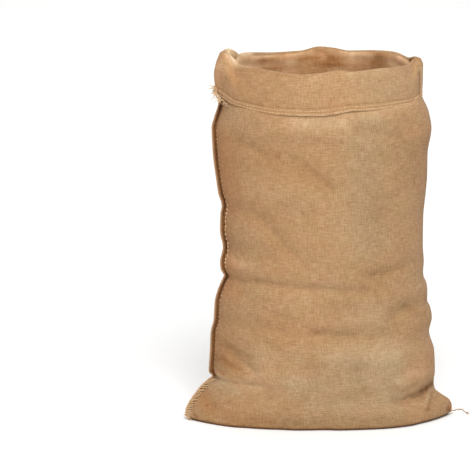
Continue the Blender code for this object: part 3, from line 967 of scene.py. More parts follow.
def flange_points(plan, sign, out=FLANGE_STATIONS, extra=0.0):
    """The seam allowance: a centre line that leans to the front with the square of the distance
    out, and half its thickness laid off square to it on the side that sign gives."""
    out = np.array(out)
    half = read(FLANGE, 1, out) * MM + extra
    sway = 1 + FLANGE_SWAY * np.sin(2 * np.pi * plan["z"] / FLANGE_WAVE)
    lean = FLANGE_CURL * sway * ramp(plan["z"], *FLANGE_FOOT)
    x = plan["seam_x"] - plan["flange"] * out
    y = plan["seam_y"] - lean * out**2
    slope_x = np.full_like(x, -FLANGE_WIDTH)
    slope_y = -2 * lean * out
    size = np.hypot(slope_x, slope_y)
    return x + sign * half * slope_y / size, y - sign * half * slope_x / size


def outer_half(plan, half, sign):
    """x and y of one half of each ring of the outer face: a plain oval where there is no seam
    allowance, and one that starts with the allowance where there is."""
    x = spread(plan["seam_x"], plan["fold_x"])
    d = np.maximum(depth(plan, half, x), 0)
    d[:, [0, -1]] = 0
    y = centre(plan, x) + sign * d
    share = plan["flange"] / FLANGE_WIDTH
    root = FLANGE[0][1] * MM
    body_x = spread(plan["seam_x"], plan["fold_x"], COLUMNS - ON_FLANGE)
    body_d = np.hypot(np.maximum(depth(plan, half, body_x), 0), root)
    body_d[:, -1] = 0
    body_y = centre(plan, body_x) + sign * body_d
    flange_x, flange_y = flange_points(plan, sign)
    stood_x = np.concatenate([flange_x, body_x], axis=1)
    stood_y = np.concatenate([flange_y, body_y], axis=1)
    return mix(x, stood_x, share), mix(y, stood_y, share)


def ring(front, back):
    """One ring out of both halves, each (x, y, z)."""
    front = np.stack(np.broadcast_arrays(*front), axis=2)
    back = np.stack(np.broadcast_arrays(*back), axis=2)
    return np.concatenate([front, back[:, -2:0:-1]], axis=1)


print("columns on each half:", COLUMNS, "of which the seam allowance takes", ON_FLANGE)

# %% [markdown]
# The face behind is the same surface drawn in by the cloth's thickness. Where front and back come
# together at an end, there is no room for it, so it stops at the last place that is clear.

# %% Rings inside
STEEPEST = math.sqrt(60)  # steeper slopes than this aren't followed inside
REACH_STEPS = 900
CLEARANCE = (2.5, 1.2)  # clear space between the faces inside, in thicknesses: low down, on top
CLEARANCE_AT = (0.76, 0.79)  # heights between which it changes


def inner_half(plan, half, sign, thickness, low, high):
    """The same half drawn in by the cloth's thickness, square to the cloth.

    The depth shrinks by thickness times the root of 1 + slope along x squared + slope along z
    squared."""
    step = 1 * MM
    x = spread(low, high)
    side = (depth(plan, half, x + step) - depth(plan, half, x - step)) / (2 * step)
    up = (depth(plan, half, x, step) - depth(plan, half, x, -step)) / (2 * step)
    steep = np.sqrt(1 + np.minimum(side**2, STEEPEST**2) + up**2)
    d = np.maximum(depth(plan, half, x) - thickness * steep, SLIT)
    d[:, [0, -1]] = 0
    return x, centre(plan, x) + sign * d


def inner_reach(plan, thickness):
    """Lowest and highest x where both halves still stand clear of each other inside."""
    x = np.linspace(0, 1, REACH_STEPS) * (plan["fold_x"] - plan["seam_x"]) + plan["seam_x"]
    least = np.minimum(depth(plan, "front", x), depth(plan, "back", x))
    clear = least > thickness * mix(*CLEARANCE, ramp(plan["z"], *CLEARANCE_AT)) + SLIT
    first = clear.argmax(axis=1)
    last = clear.shape[1] - 1 - clear[:, ::-1].argmax(axis=1)
    rows = np.arange(len(x))
    return x[rows, first][:, None], x[rows, last][:, None]


def rings_of(plan, thickness=None):
    """Rings of a plan's outer face or, where a thickness is given, of the face behind it."""
    reach = None if thickness is None else inner_reach(plan, thickness)
    halves = []
    for half, sign in HALVES:
        if reach is None:
            x, y = outer_half(plan, half, sign)
        else:
            x, y = inner_half(plan, half, sign, thickness, *reach)
        halves.append((x, y, plan["height"](half, x)))
    return ring(*halves)


def cuff_rings(share, extra):
    """The cuff's face. extra thickens it, but fades out towards the folded end."""
    plain = rings_of(cuff_plan(share))
    thick = rings_of(cuff_plan(share, extra))
    return mix(thick, plain, ramp(plain[:, :, :1], *HEM_FADE))


print("columns round the sack:", rings_of(wall_plan([0.40])).shape[1])

# %% [markdown]
# ## The cloth
#
# One closed surface follows the cloth: under the base, up the outside, over and down behind the
# cuff, round the hem, up the cuff's face, over the rim and down the inside. Where two faces turn
# into each other, the rings go round a half circle.
#
# Its UV map is the flat cloth in metres, u round the sack and v up from the bottom seam, so a
# weave drawn on it has real thread spacing and bends with every fold. Cloth could also be a
# single sheet with Solidify on it, but then both faces would share one wear and painted light, and
# the hem and the rim couldn't roll over.

# %% Where the cloth turns over
ROLL_SHARE = 0.45  # the rim's roll is this share of its width high, up to ROLL_MOST
ROLL_MOST = 12 * MM
# Painted shade in the slits at both corners of the mouth, seen from above: x1, y1, x2, y2,
# darkness, reach.
SLITS = (
    (-201, 13.8, -194.8, 16, 62, 1.7),
    (-194.8, 16, -186, 24, 62, 1.7),
    (208.5, 8, 202.9, 9.5, 62, 1.7),
    (202.9, 9.5, 196, 16, 62, 1.7),
)
SLITS_FROM = (0.77, 0.79)  # heights between which they start
HEM_EDGE = (-0.004, 0.010)  # shares of the cuff, past the hem's edge, over which it thickens
GROOVE_BACK = 0.010  # share of the cuff from the groove down to that edge, and its width
GROOVE_WIDE = 0.011
BASE_ROWS = 6
BASE_DEPTH = 0.13  # half of the base, as the flat cloth measures it
FLAT_WIDTH = 1.222  # both sides of a 60 cm sack and the seam allowance


def turned(first, second, rows, rise):
    """Rings over a half circle from one ring to another: across by the cosine, up by the sine."""
    angle = np.linspace(0, np.pi, rows + 2)[1:-1].reshape(-1, 1, 1)
    made = mix(first, second, (1 - np.cos(angle)) / 2)
    made[:, :, 2] += rise * np.sin(angle[:, :, 0])
    return made


def rolled(face, inside, rows):
    """The rim's roll: a half circle between the cuff's face and the inside."""
    width = np.linalg.norm((face - inside)[:, :2], axis=1)
    return turned(face, inside, rows, np.minimum(ROLL_SHARE * width, ROLL_MOST))


def slit_painted_shade(rings):
    """The painted shade in the slits at both corners of the mouth, by their lines seen from above.
    """
    x, y, z = rings[:, :, 0], rings[:, :, 1], rings[:, :, 2]
    return bells(x, y, SLITS) / 100 * ramp(z, *SLITS_FROM)


def base_rings(contact, rows):
    """Rings from the bottom seam, where front and back meet, out to the contact ring."""
    front = contact[:COLUMNS]
    back = np.concatenate([contact[:1], contact[: COLUMNS - 2 : -1]])
    seam = (front + back) / 2
    middle = (contact[0, 0] + contact[COLUMNS - 1, 0]) / 2
    share = np.linspace(0, 1, rows, endpoint=False).reshape(-1, 1, 1)
    halves = []
    for line in (front, back):
        made = mix(seam, line, share)
        length = SEAM_LENGTH + (1 - SEAM_LENGTH) * share[:, :, 0]
        made[:, :, 0] = middle + (made[:, :, 0] - middle) * length
        halves.append(made)
    return np.concatenate([halves[0], halves[1][:, -2:0:-1]], axis=1)


def stations(*stretches):
    """Places along a line, from stretches of (from, to, steps)."""
    return np.concatenate([np.linspace(a, b, n, endpoint=False) for a, b, n in stretches])


def hem_rise(share):
    """The hem's extra thickness, which ends in a narrow groove where the stitches pull it in."""
    past = share - (1 - HEM_SHARE)
    groove = np.exp(-(((past + GROOVE_BACK) / GROOVE_WIDE) ** 2))
    return HEM_EXTRA * ramp(past, *HEM_EDGE) - HEM_GROOVE * groove


print("hem's thickness in mm:", round(float(hem_rise(0.95)) / MM, 1), "more than the cuff's")

# %% [markdown]
# The seam wears in its own way: dirt and painted shade darken its groove, and its roll is rubbed
# pale and given a painted highlight. Elsewhere the cloth follows the rows of wear and painted
# light, and dust and painted shade make it a little darker wherever a fold draws it in.

# %% Wear and painted light and shade at each point
# Wear, dirt and painted shade along the seam, in hundredths of lightness and of groove redness.
GROOVE_DIRT_AND_SHADE = -4
GROOVE_REDNESS = 130
GROOVE_REACH = 2 * MM
GROOVE_DEEPEST = 2.0  # how much of the dirt and painted shade lies at its bottom
ALLOWANCE_DIRT_AND_SHADE = ((0.15, 1.6), (0.6, 0.8), (0.78, 0.5), (0.9, 0.0))  # share of the way out, dirt and painted shade
TIP_WEAR_AND_HIGHLIGHT = 18  # the roll is rubbed pale, and given a painted highlight along its edge
TIP_FROM = (0.8, 0.95)
EAR_WEAR = 10  # the allowance is rubbed pale where it lies open on the bottom corner
BACK_WEAR = 0.25  # the seam is clean behind, where it has no groove
BOTH_HALVES = {"front": ("front", "back"), "inside": (None, "inside")}  # rows of wear and painted light for each half


def seam_wear_and_shade(rings):
    """Lightness and redness along the seam: dark and red in the groove with dirt and painted
    shade, pale on the roll with rubbing and a painted highlight.
    """
    height = rings[:, :1, 2]
    stands = 1 - ramp(height, *FLANGE_FADE)
    upper = ramp(height, *FLANGE_FOOT)
    out = np.array(FLANGE_STATIONS)
    run = np.abs(rings[:, :COLUMNS, 0] - rings[:, ON_FLANGE : ON_FLANGE + 1, 0])
    dirt_and_shade = GROOVE_DEEPEST * np.exp(-((run / GROOVE_REACH) ** 2))
    dirt_and_shade[:, :ON_FLANGE] = np.interp(out, *np.transpose(ALLOWANCE_DIRT_AND_SHADE))
    light = GROOVE_DIRT_AND_SHADE * dirt_and_shade * upper
    light[:, :ON_FLANGE] += TIP_WEAR_AND_HIGHLIGHT * ramp(out, *TIP_FROM) + EAR_WEAR * (1 - upper)
    red = GROOVE_REDNESS * np.minimum(dirt_and_shade, 1) * upper
    half = np.stack([light * stands, red * stands], axis=2) / 100
    return np.concatenate([half, BACK_WEAR * half[:, -2:0:-1]], axis=1)


def tone_with_painted_light(rings, side):
    """Lightness and redness of each point of these rings, as an array (rows, around, 2). The
    side says which rows of the table they follow, with their rubbing, dirt and painted light
    and shade, and, outside, which folds darken them with dust and painted shade. The slits at
    the mouth's corners are darkened with painted shade."""
    front, back = BOTH_HALVES.get(side, (side, side))
    made = []
    for cloth, alone, part in (
        (front, f"{front}_front", rings[:, :COLUMNS]),
        (back, None, rings[:, COLUMNS:]),
    ):
        x, z = part[:, :, 0], part[:, :, 2]
        tone = wear_and_painted_light(cloth, x, z) + wear_and_painted_light(alone, x, z)
        if side == "front":
            tone[:, :, 0] -= CREASE_DUST_AND_SHADE / 100 * bells(x, z, FOLDS[cloth])
        made.append(tone)
    made = np.concatenate(made, axis=1)
    if side == "front":
        made += seam_wear_and_shade(rings)
    made[:, :, 0] -= slit_painted_shade(rings)
    return made


print("sides with their own rows:", BOTH_HALVES)

# %% [markdown]
# Nine groups of rings follow each other round the thickness of the cloth. Each has its own wear
# and painted light, and its own stretch of the flat cloth, so that the weave runs on from one to
# the next.

# %% All the rings
# Rows of points, as (from, to, steps): heights on the wall, and shares of the cuff.
WALL_ROWS = ((0, 0.012, 5), (0.012, 0.12, 34), (0.12, 0.70, 138), (0.70, 0.775, 8))
FACE_ROWS = ((0.99, 0.87, 7), (0.87, 0.815, 9), (0.815, 0.08, 20), (0.08, 0.03, 3))
INSIDE_ROWS = ((0.806, 0.60, 42), (0.60, 0.06, 44), (0.06, CLOTH, 4))
LINING_SHARES = np.array([0.12, 0.4, 0.75, 0.97])
LINING_RISE = 8 * MM  # how high the cloth turns over behind the cuff
HEM_DROP = -2.2 * MM  # and how low it turns round the hem
DEEP_INSIDE = 3.5 * MM  # low down the inside keeps further off, so that deep folds don't meet
DEEP_BELOW = (0.5, 0.7)


def cloth_rings():
    """All rings in order, the flat cloth's v at each, and the lightness and redness of each point.
    """
    rising, face_share, falling = (stations(*rows) for rows in (WALL_ROWS, FACE_ROWS, INSIDE_ROWS))
    outside = rings_of(wall_plan(rising))
    lining = rings_of(cuff_plan(LINING_SHARES), CLOTH)
    face = cuff_rings(face_share, hem_rise(face_share))
    behind = mix(DEEP_INSIDE, CLOTH, ramp(falling, *DEEP_BELOW)).reshape(-1, 1)
    inside = rings_of(wall_plan(falling), behind)
    floor_in = inside[-1].copy()
    floor_in[:, 2] = CLOTH
    base_v = np.linspace(0, BASE_DEPTH, BASE_ROWS, endpoint=False)
    rim_v = BASE_DEPTH + RIM
    hem_v = rim_v + CUFF_HEIGHT
    half_arc = np.pi / 4 * np.linalg.norm((face[-1] - inside[0])[:, :2], axis=1)
    face_v = rim_v + CUFF_HEIGHT * (face_share - face_share[-1])[:, None] + half_arc
    roll_v = rim_v + half_arc * np.linspace(0.8, -0.8, 7)[:, None]
    groups = (
        # wear and painted light, rings, v
        ("", base_rings(outside[0], BASE_ROWS), base_v),
        ("front", outside, BASE_DEPTH + rising),
        ("", turned(outside[-1], lining[0], 3, LINING_RISE), np.full(3, rim_v)),
        ("", lining, rim_v + CUFF_HEIGHT * LINING_SHARES),
        ("", turned(lining[-1], face[0], 4, HEM_DROP), hem_v + np.linspace(4, 1, 4) * MM),
        ("cuff", face, face_v),
        ("cuff", rolled(face[-1], inside[0], 7), roll_v),
        ("inside", inside, rim_v - half_arc - (falling[0] - falling)[:, None]),
        ("", base_rings(floor_in, 4)[::-1], np.linspace(BASE_DEPTH, 0, 4)),
    )
    rings = np.concatenate([made for _, made, _ in groups])
    around = rings.shape[1]
    v = [v if v.ndim == 2 else np.tile(v[:, None], around) for _, _, v in groups]
    tones = [tone_with_painted_light(made, side) for side, made, _ in groups]
    return rings, np.concatenate(v), np.concatenate(tones)


rings, along, tones = cloth_rings()
print("rings:", rings.shape[0], "of", rings.shape[1], "points")

# %% The cloth's mesh


def flat_width(rings):
    """u of each point: the distance along its ring, scaled to the flat cloth's width."""
    steps = np.linalg.norm(np.diff(rings, axis=1, append=rings[:, :1]), axis=2)
    run = np.concatenate([np.zeros((len(rings), 1)), np.cumsum(steps, axis=1)], axis=1)
    return FLAT_WIDTH * run / run[:, -1:]


def cloth_mesh(rings, along, tones):
    """Quads between each ring and the next, with the UV map and the lightness and redness at each
    point.
    """
    rows, around = rings.shape[:2]
    number = np.arange(rows * around).reshape(rows, around)
    # Along the bottom seam each back point is the front point across from it.
    for row in (0, rows - 1):
        number[row, COLUMNS:] = number[row, 1 : COLUMNS - 1][::-1]
    after = np.roll(number, -1, axis=1)
    faces = np.stack([number[:-1], after[:-1], after[1:], number[1:]], axis=2).reshape(-1, 4)
    u = flat_width(rings)
    v = np.concatenate([along, along[:, :1]], axis=1)
    flat = np.stack([u, v], axis=2)
    corners = [flat[:-1, :-1], flat[:-1, 1:], flat[1:, 1:], flat[1:, :-1]]
    uv = np.stack(corners, axis=2).reshape(-1, 2)
    used = np.unique(faces)
    renumber = np.zeros(rows * around, int)
    renumber[used] = np.arange(len(used))
    mesh = bpy.data.meshes.new("hessian_sack")
    mesh.from_pydata(rings.reshape(-1, 3)[used].tolist(), [], renumber[faces].tolist())
    for i, name in enumerate(("lightness", "redness")):
        attribute = mesh.attributes.new(name, "FLOAT", "POINT")
        attribute.data.foreach_set("value", tones[:, :, i].ravel()[used].astype(np.float32))
    layer = mesh.uv_layers.new(name="flat_cloth")
    layer.data.foreach_set("uv", uv.astype(np.float32).ravel())
    mesh.polygons.foreach_set("use_smooth", [True] * len(mesh.polygons))
    mesh.update()
    return mesh


sack = add_object(cloth_mesh(rings, along, tones))
print("cloth:", 2 * len(sack.data.polygons), "triangles at most")

# %% [markdown]
# ## Hessian
#
# Hessian is a plain weave of single jute yarns, about five to the centimetre each way. The yarns
# are hairy and uneven: each has its own shade, and thick and thin places run a few centimetres
# along it. Between the yarns there are small holes, which look dark: the colour is made darker
# where a yarn's height falls, as painted shade in the dips and holes. Real yarns in their
# thousands would be too heavy, and an image would repeat, so the weave is worked out from the
# flat cloth's own coordinates. The number of the yarn at a point picks its shade from a
# noise that is drawn out along the yarn, and the same noise makes it stand out or sink. It is laid
# over broad soft patches and the wear, dirt and painted light and shade that the mesh carries.

# %% One set of yarns
YARN = 2.1 * MM  # from one yarn to the next, both ways
ALONG = 38.0  # changes of shade per metre of yarn, about 26 mm each
APART = 7.37  # keeps the shades of two yarns beside each other from being alike


def yarns(add, across, along, seed):
    """One set of parallel yarns: their roundness, shade and signed side of the weave.

    With t = across / YARN, the yarn's number is the whole part of t and its section is the
    sine of pi t. The noise is read at (number, along), so it never leaks into the next yarn."""
    t = add("Math", (across, 1 / YARN), operation="MULTIPLY")
    number = add("Math", (t,), operation="FLOOR")
    apart = add("Math", (number, APART), operation="MULTIPLY")
    run = add("Math", (along, ALONG), operation="MULTIPLY")
    place = {"Vector": add("CombineXYZ", (apart, run, seed)), "Scale": 1.0}
    settings = {"Detail": 3.0, "Roughness": 0.6}
    shade = add("TexNoise", {**place, **settings}, noise_dimensions="3D")
    angle = add("Math", (t, math.pi), operation="MULTIPLY")
    wave = add("Math", (angle,), operation="SINE")
    return add("Math", (wave,), operation="ABSOLUTE"), shade, wave


print("yarns to the centimetre:", round(10 * MM / YARN, 1))

# %% [markdown]
# The cloth's colour is the sum of many small things: the height of the yarn on top, which paints
# shade at its edges, its shade of colour, slubs along warp and weft, hairs, soft patches, and the
# wear, dirt and painted light and shade that the mesh carries. The sum picks a place on two colour
# bands, straw and russet, and a slow noise with the redness mixes them.

# %% The hessian material
STRAY_SCALE = 16.0  # changes per metre, about 60 mm each
WANDER = 3.2 * MM  # how far yarns stray from a straight line
SLUB_LONG = 55.0  # thick places: changes per metre along the yarn, about 18 mm each
SLUB_ACROSS = 420.0  # and across it, one yarn's width
WEAVE_RELIEF = 0.42 * MM
MOST_WARMTH = 1.4  # past 1 the mix runs on beyond russet
# Dark, middle, pale and bleached of the two casts that jute takes on.
STRAW = ("#66451f", "#9e815e", "#c9b291", "#ecdcc0")
RUSSET = ("#683d18", "#a3754a", "#cea379", "#f1cda4")
OLIVE_TINT = (0.97, 1.03, 0.95, 1.0)
PINK_TINT = (1.04, 0.97, 1.05, 1.0)
PATTERNS = {
    # changes per metre (1 where the place is stretched already), detail, roughness
    "slubs": (1.0, 1.0, 0.55),
    "ribs": (1.0, 1.0, 0.55),
    "broad": (9.0, 4.0, 0.6),  # patches of about 110 mm
    "mottle": (55.0, 3.0, 0.6),  # 18 mm
    "hairs": (1500.0, 2.0, 0.6),  # 0.7 mm, coarser than real hairs, so that they show
    "cast": (6.0, 2.0, 0.55),  # 170 mm
    "tint": (26.0, 3.0, 0.55),  # 40 mm
}


def hessian():
    """The warp is on top where the signed sides of warp and weft agree. Height and shade are
    those of the yarn on top, and its height falls to the root of the other's at its edges. The
    height also darkens the colour there: painted shade between the yarns."""
    made, add, shader = new_material("hessian_plain_weave")
    flat = add("UVMap", (), uv_map="flat_cloth")
    at = {"Vector": flat, "Scale": STRAY_SCALE, "Detail": 2.0}
    stray = add("TexNoise", at, out="Color", noise_dimensions="2D")
    moved = add("VectorMath", (stray, (2 * WANDER, 2 * WANDER, 0.0)), operation="MULTIPLY")
    place = add("VectorMath", (flat, moved), operation="ADD")
    split = add("SeparateXYZ", (place,)).node.outputs
    u, v = split[0], split[1]

    a, warp_shade, warp_side = yarns(add, u, v, 3.1)
    b, weft_shade, weft_side = yarns(add, v, u, 8.7)
    sides = add("Math", (warp_side, weft_side), operation="MULTIPLY")
    on_top = add("Math", (sides, 0.0), operation="GREATER_THAN")
    warp, weft = (
        add("Math", (own, add("Math", (other,), operation="SQRT")), operation="MULTIPLY")
        for own, other in ((a, b), (b, a))
    )
    height, shade = (
        add("Mix", {0: on_top, 2: below, 3: above}, data_type="FLOAT")
        for below, above in ((weft, warp), (weft_shade, warp_shade))
    )

    places = {}
    for name, scales in (("slubs", (SLUB_LONG, SLUB_ACROSS)), ("ribs", (SLUB_ACROSS, SLUB_LONG))):
        stretched = [
            add("Math", (way, scale), operation="MULTIPLY") for way, scale in zip((u, v), scales)
        ]
        places[name] = add("CombineXYZ", stretched)
    texture = {}
    for name, (scale, detail, roughness) in PATTERNS.items():
        at = {"Vector": places.get(name, flat), "Scale": scale, "Detail": detail}
        texture[name] = add("TexNoise", {**at, "Roughness": roughness}, noise_dimensions="2D")

    light = add("Attribute", (), out="Fac", attribute_name="lightness")
    red = add("Attribute", (), out="Fac", attribute_name="redness")
    share = around_half(
        add,
        add("Math", (light, 0.5), operation="ADD"),
        # the yarn's height darkens the dips and holes between yarns: painted shade
        (height, 0.22),
        (shade, 0.42),
        (texture["slubs"], 0.32),
        (texture["ribs"], 0.30),
        (texture["broad"], 0.17),
        (texture["mottle"], 0.13),
        (texture["hairs"], 0.16),
    )
    share = add("Math", (share, 2 / 3), operation="MULTIPLY")
    straw, russet = (
        set_stops(
            add("ValToRGB", (share,)),
            (0.0, cast[0]),
            (1.0, cast[3]),
            (1 / 3, cast[1]),
            (2 / 3, cast[2]),
        )
        for cast in (STRAW, RUSSET)
    )
    warmth = add("Math", (red, 0.5), operation="ADD")
    warmth = around_half(add, warmth, (texture["cast"], 0.6))
    warmth = add("Math", (warmth, 0.0), operation="MAXIMUM")
    warmth = add("Math", (warmth, MOST_WARMTH), operation="MINIMUM")
    colours = {0: warmth, 6: straw, 7: russet}
    colour = add("Mix", colours, out=2, data_type="RGBA", clamp_factor=False)
    tints = {0: texture["tint"], 6: OLIVE_TINT, 7: PINK_TINT}
    tint = add("Mix", tints, out=2, data_type="RGBA")
    both = {0: 1.0, 6: colour, 7: tint}
    colour = add("Mix", both, out=2, data_type="RGBA", blend_type="MULTIPLY")

    relief = weighted(
        add,
        None,
        (height, WEAVE_RELIEF),
        (shade, 0.35 * MM),
        (texture["slubs"], 0.35 * MM),
        (texture["mottle"], 0.7 * MM),
    )
    bump = add("Bump", {"Height": relief, "Strength": 0.8, "Distance": 1.0})
    fill(shader, {"Base Color": colour, "Normal": bump})
    dull(shader)
    return made


hessian_cloth = hessian()
sack.data.materials.append(hessian_cloth)
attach(sack, "root")
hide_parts("sack_cloth")
print("material:", hessian_cloth.name, "with", len(hessian_cloth.node_tree.nodes), "nodes")

# %% [markdown]
# ## The overcast seam
#
# The seam allowance is rolled to the front and sewn down. Grains of twine come out of the front
# wall beside its groove, about 9 mm apart, threads cross the groove about every 6 mm, and
# stitches go round the roll's edge about every 5 mm. On the bottom corner the edge isn't rolled
# but overcast: the stitches wrap it, as close, and cross each other. They could be copies of one
# modelled stitch, but here each is a tube that follows the section of the sack at its own
# height, so it bends with the folds.

# %% Paths of the stitches
CORNER = (0.012, 0.088)  # heights of the overcast corner
CORNER_LIFT = 0.35 * MM  # how far its stitches stand off the cloth
LOWEST = 1.15 * MM  # no stitch goes lower, so none sinks into the floor
GRAIN_ARCH = 1.2 * MM  # how far a grain bulges, and how deep its ends are sunk
GRAIN_SUNK = 0.5 * MM


def at_reach(half, plan, reach):
    """x and y of one half of the sack where it is reach away from the seam's root."""
    x, y = outer_half(plan, half, dict(HALVES)[half])
    column = ON_FLANGE + (x[:, ON_FLANGE:] < plan["seam_x"] + reach).sum(axis=1)
    rows = np.arange(len(x))
    return x[rows, column], y[rows, column]


def stops(x, y, shares):
    """One stop of a path, (x, y, share of its slant), for each column of x and y."""
    return [(x[:, i], y[:, i], share) for i, share in enumerate(shares)]


def as_paths(z, slant, places):
    """Paths at heights z through these stops, which rise with their share of the slant."""
    x, y = (np.stack([place[i] for place in places], axis=1) for i in (0, 1))
    rise = np.array([share for _, _, share in places])
    slant = np.broadcast_to(slant, np.shape(z))[:, None]
    return np.stack([x, y, np.maximum(z[:, None] + slant * rise, LOWEST)], axis=2)


def over_edge(z, reach, slant):
    """Paths over the seam's edge: from the front of the sack, over the edge and back to the
    seam's root behind it. slant is how much lower the front end is."""
    plan = wall_plan(z)
    lift = CORNER_LIFT
    deep_x, deep_y = at_reach("front", plan, reach[:, None] + 1.5 * MM)
    near_x, near_y = at_reach("front", plan, reach[:, None])
    front_x, front_y = flange_points(plan, -1, (0.85, 0.99), lift)
    back_x, back_y = flange_points(plan, 1, (0.99, 0.8, 0.5, 0.3), lift)
    front_x[:, 1] -= lift
    back_x[:, 0] -= lift
    back_x[:, 3] += 2 * lift
    middle_x = (near_x + front_x[:, 0]) / 2
    middle_y = (near_y + front_y[:, 0]) / 2 - 1.2 * lift
    places = [
        (deep_x, deep_y + lift, -1.15),
        (near_x, near_y - lift, -1.0),
        (middle_x, middle_y, -0.55),
        *stops(front_x, front_y, (-0.15, 0.0)),
        *stops(back_x, back_y, (0.1, 0.25, 0.45, 0.6)),
    ]
    return as_paths(z, slant, places)


def beside_groove(z, reach, tall):
    """Paths of the grains of twine that show where the front wall turns into the groove. Each
    runs up the wall at its reach and bulges by 1 - t^2, as far sideways as to the front."""
    t = np.linspace(-1, 1, 6)
    height = z[:, None] + t * np.reshape(tall, (-1, 1)) / 2
    x, y = at_reach("front", wall_plan(height.ravel()), np.repeat(reach, len(t))[:, None])
    out = 0.7 * ((1 - t**2) * GRAIN_ARCH - GRAIN_SUNK)
    return np.stack([x.reshape(height.shape) - out, y.reshape(height.shape) - out, height], axis=2)


def across_groove(z, slant):
    """Paths that cross the groove, low between the front wall and the roll's inner face."""
    plan = wall_plan(z)
    wall_x, wall_y = at_reach("front", plan, np.full((len(z), 1), 1.5 * MM))
    roll_x, roll_y = flange_points(plan, -1, (0.45, 0.62, 0.72), -0.2 * MM)
    roll_y = roll_y - np.array([0.5, 0.2, 0.0]) * MM
    on_wall = (wall_x, wall_y + 0.2 * MM, -1.0)
    return as_paths(z, slant, [on_wall, *stops(roll_x, roll_y, (-0.5, 0.0, 0.5))])


def round_roll(z, slant, lift=0.25 * MM):
    """Paths over the rolled edge alone, from its inner face round to the back."""
    plan = wall_plan(z)
    front_x, front_y = flange_points(plan, -1, (0.62, 0.76, 0.90, 0.99), lift)
    back_x, back_y = flange_points(plan, 1, (0.99, 0.86, 0.72), lift)
    front_x[:, 0] -= 1.5 * MM
    places = stops(front_x, front_y, (-0.6, -0.3, 0.0, 0.3))
    return as_paths(z, slant, places + stops(back_x, back_y, (0.4, 0.7, 1.0)))


print("the corner is overcast from", CORNER[0], "to", CORNER[1], "m up")

# %% The seam's twine
GRAIN_PITCH = 9.4 * MM
THREAD_PITCH = 6.4 * MM
EDGE_PITCH = 4.6 * MM  # round the roll, and on the corner
GRAINS = (0.130, 0.665)  # heights of the grains, of the threads and of the stitches on the roll
THREADS = (0.120, 0.712)
ROLL = (0.110, 0.712)
GRAIN_LENGTH = 5.0 * MM
PLAIN = (0.32, 0.36, 0.49, 0.52)  # heights over which the grains grow plain, and faint again
FAINT = 0.55  # their size elsewhere
BEAD, THREAD, WRAP, CORNER_TWINE = 1.6 * MM, 0.75 * MM, 0.75 * MM, 0.9 * MM  # radii


def jittered(start, stop, pitch, off=0.10):
    """Heights a pitch apart, each a little off its place."""
    at = np.arange(start, stop, pitch)
    return at + rng.normal(0, off * pitch, len(at))


def corner_heights(pitch):
    """Heights that lie a pitch apart along the corner's slanting edge."""
    z = np.linspace(*CORNER, 200)
    run = np.cumsum(np.hypot(np.gradient(read(EDGES, 1, z)), np.gradient(z)))
    return np.interp(np.arange(run[0], run[-1], pitch), run, z)


def sew(name, paths, radii, material, sides=6):
    """Adds twine or yarn that belongs to the cloth and moves with it."""
    piece = tubes(name, paths, radii, sides)
    piece.data.materials.append(material)
    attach(piece, "root")
    return piece


grain_z = jittered(*GRAINS, GRAIN_PITCH)
thread_z = jittered(*THREADS, THREAD_PITCH, 0.2)
wrap_z = jittered(*ROLL, EDGE_PITCH)
corner_z = corner_heights(EDGE_PITCH)
corner_z = corner_z + rng.normal(0, 0.7 * MM, len(corner_z))
crossing = rng.uniform(3, 8, len(corner_z)) * MM
slanting = rng.uniform(4, 9, len(corner_z)) * MM
one_way = over_edge(corner_z, crossing, slanting)
other_way = over_edge(corner_z + 2 * MM, crossing * 0.8, -0.4 * slanting)
corner_paths = np.concatenate([one_way, other_way])
plain = mix(FAINT, 1.0, ramp(grain_z, *PLAIN[:2]) * (1 - ramp(grain_z, *PLAIN[2:])))
grain_reach = rng.uniform(2.0, 3.0, len(grain_z)) * MM
grain_paths = beside_groove(grain_z, grain_reach, GRAIN_LENGTH * plain)
thread_paths = across_groove(thread_z, rng.uniform(1.0, 4.0, len(thread_z)) * MM)
sewn_on = [
    sew("side_seam_stitches", grain_paths, BEAD * plain[:, None], pale_twine),
    sew("groove_threads", thread_paths, THREAD, dusty_shaded_twine),
    sew("rolled_edge_stitches", round_roll(wrap_z, 2.5 * MM), WRAP, twine),
    sew("corner_overcasting", corner_paths, CORNER_TWINE, pale_twine),
]

# %% [markdown]
# ## The hem's stitches
#
# The hem is sewn with two rows of short slanting stitches, one under its upper edge and one
# above its lower edge. Each is a small grain of twine that comes out of the cloth and dives into
# it again, laid along the cuff's own ring at that height. Real ones lie about 5 mm apart. These
# are drawn 6 mm apart, because closer ones run together into a plain line in a small picture.

# %% Hem stitches
HEM_PITCH = 6.2 * MM
HEM_LINES = (0.885, 0.958)  # shares of the way from the rim to the hem's lower edge
HEM_STITCH = 0.85 * MM  # radius
HEM_LENGTH = 3.2 * MM
HEM_SLOPE = 0.35
HEM_ARCH = 1.0 * MM  # how far a stitch bulges, and how deep its ends are sunk
HEM_SUNK = 0.45 * MM


def along_ring(ring_points, pitch):
    """Points a pitch apart round a closed ring, with the direction there, square to up."""
    closed = np.concatenate([ring_points, ring_points[:1]])
    run = np.concatenate([[0], np.cumsum(np.linalg.norm(np.diff(closed, axis=0), axis=1))])
    count = int(run[-1] / pitch)
    at = (np.arange(count) + rng.normal(0, 0.08, count)) * run[-1] / count
    points, ahead = (
        np.stack([np.interp((at + step) % run[-1], run, closed[:, i]) for i in range(3)], axis=1)
        for step in (0, 0.5 * MM)
    )
    return points, unit(ahead - points)


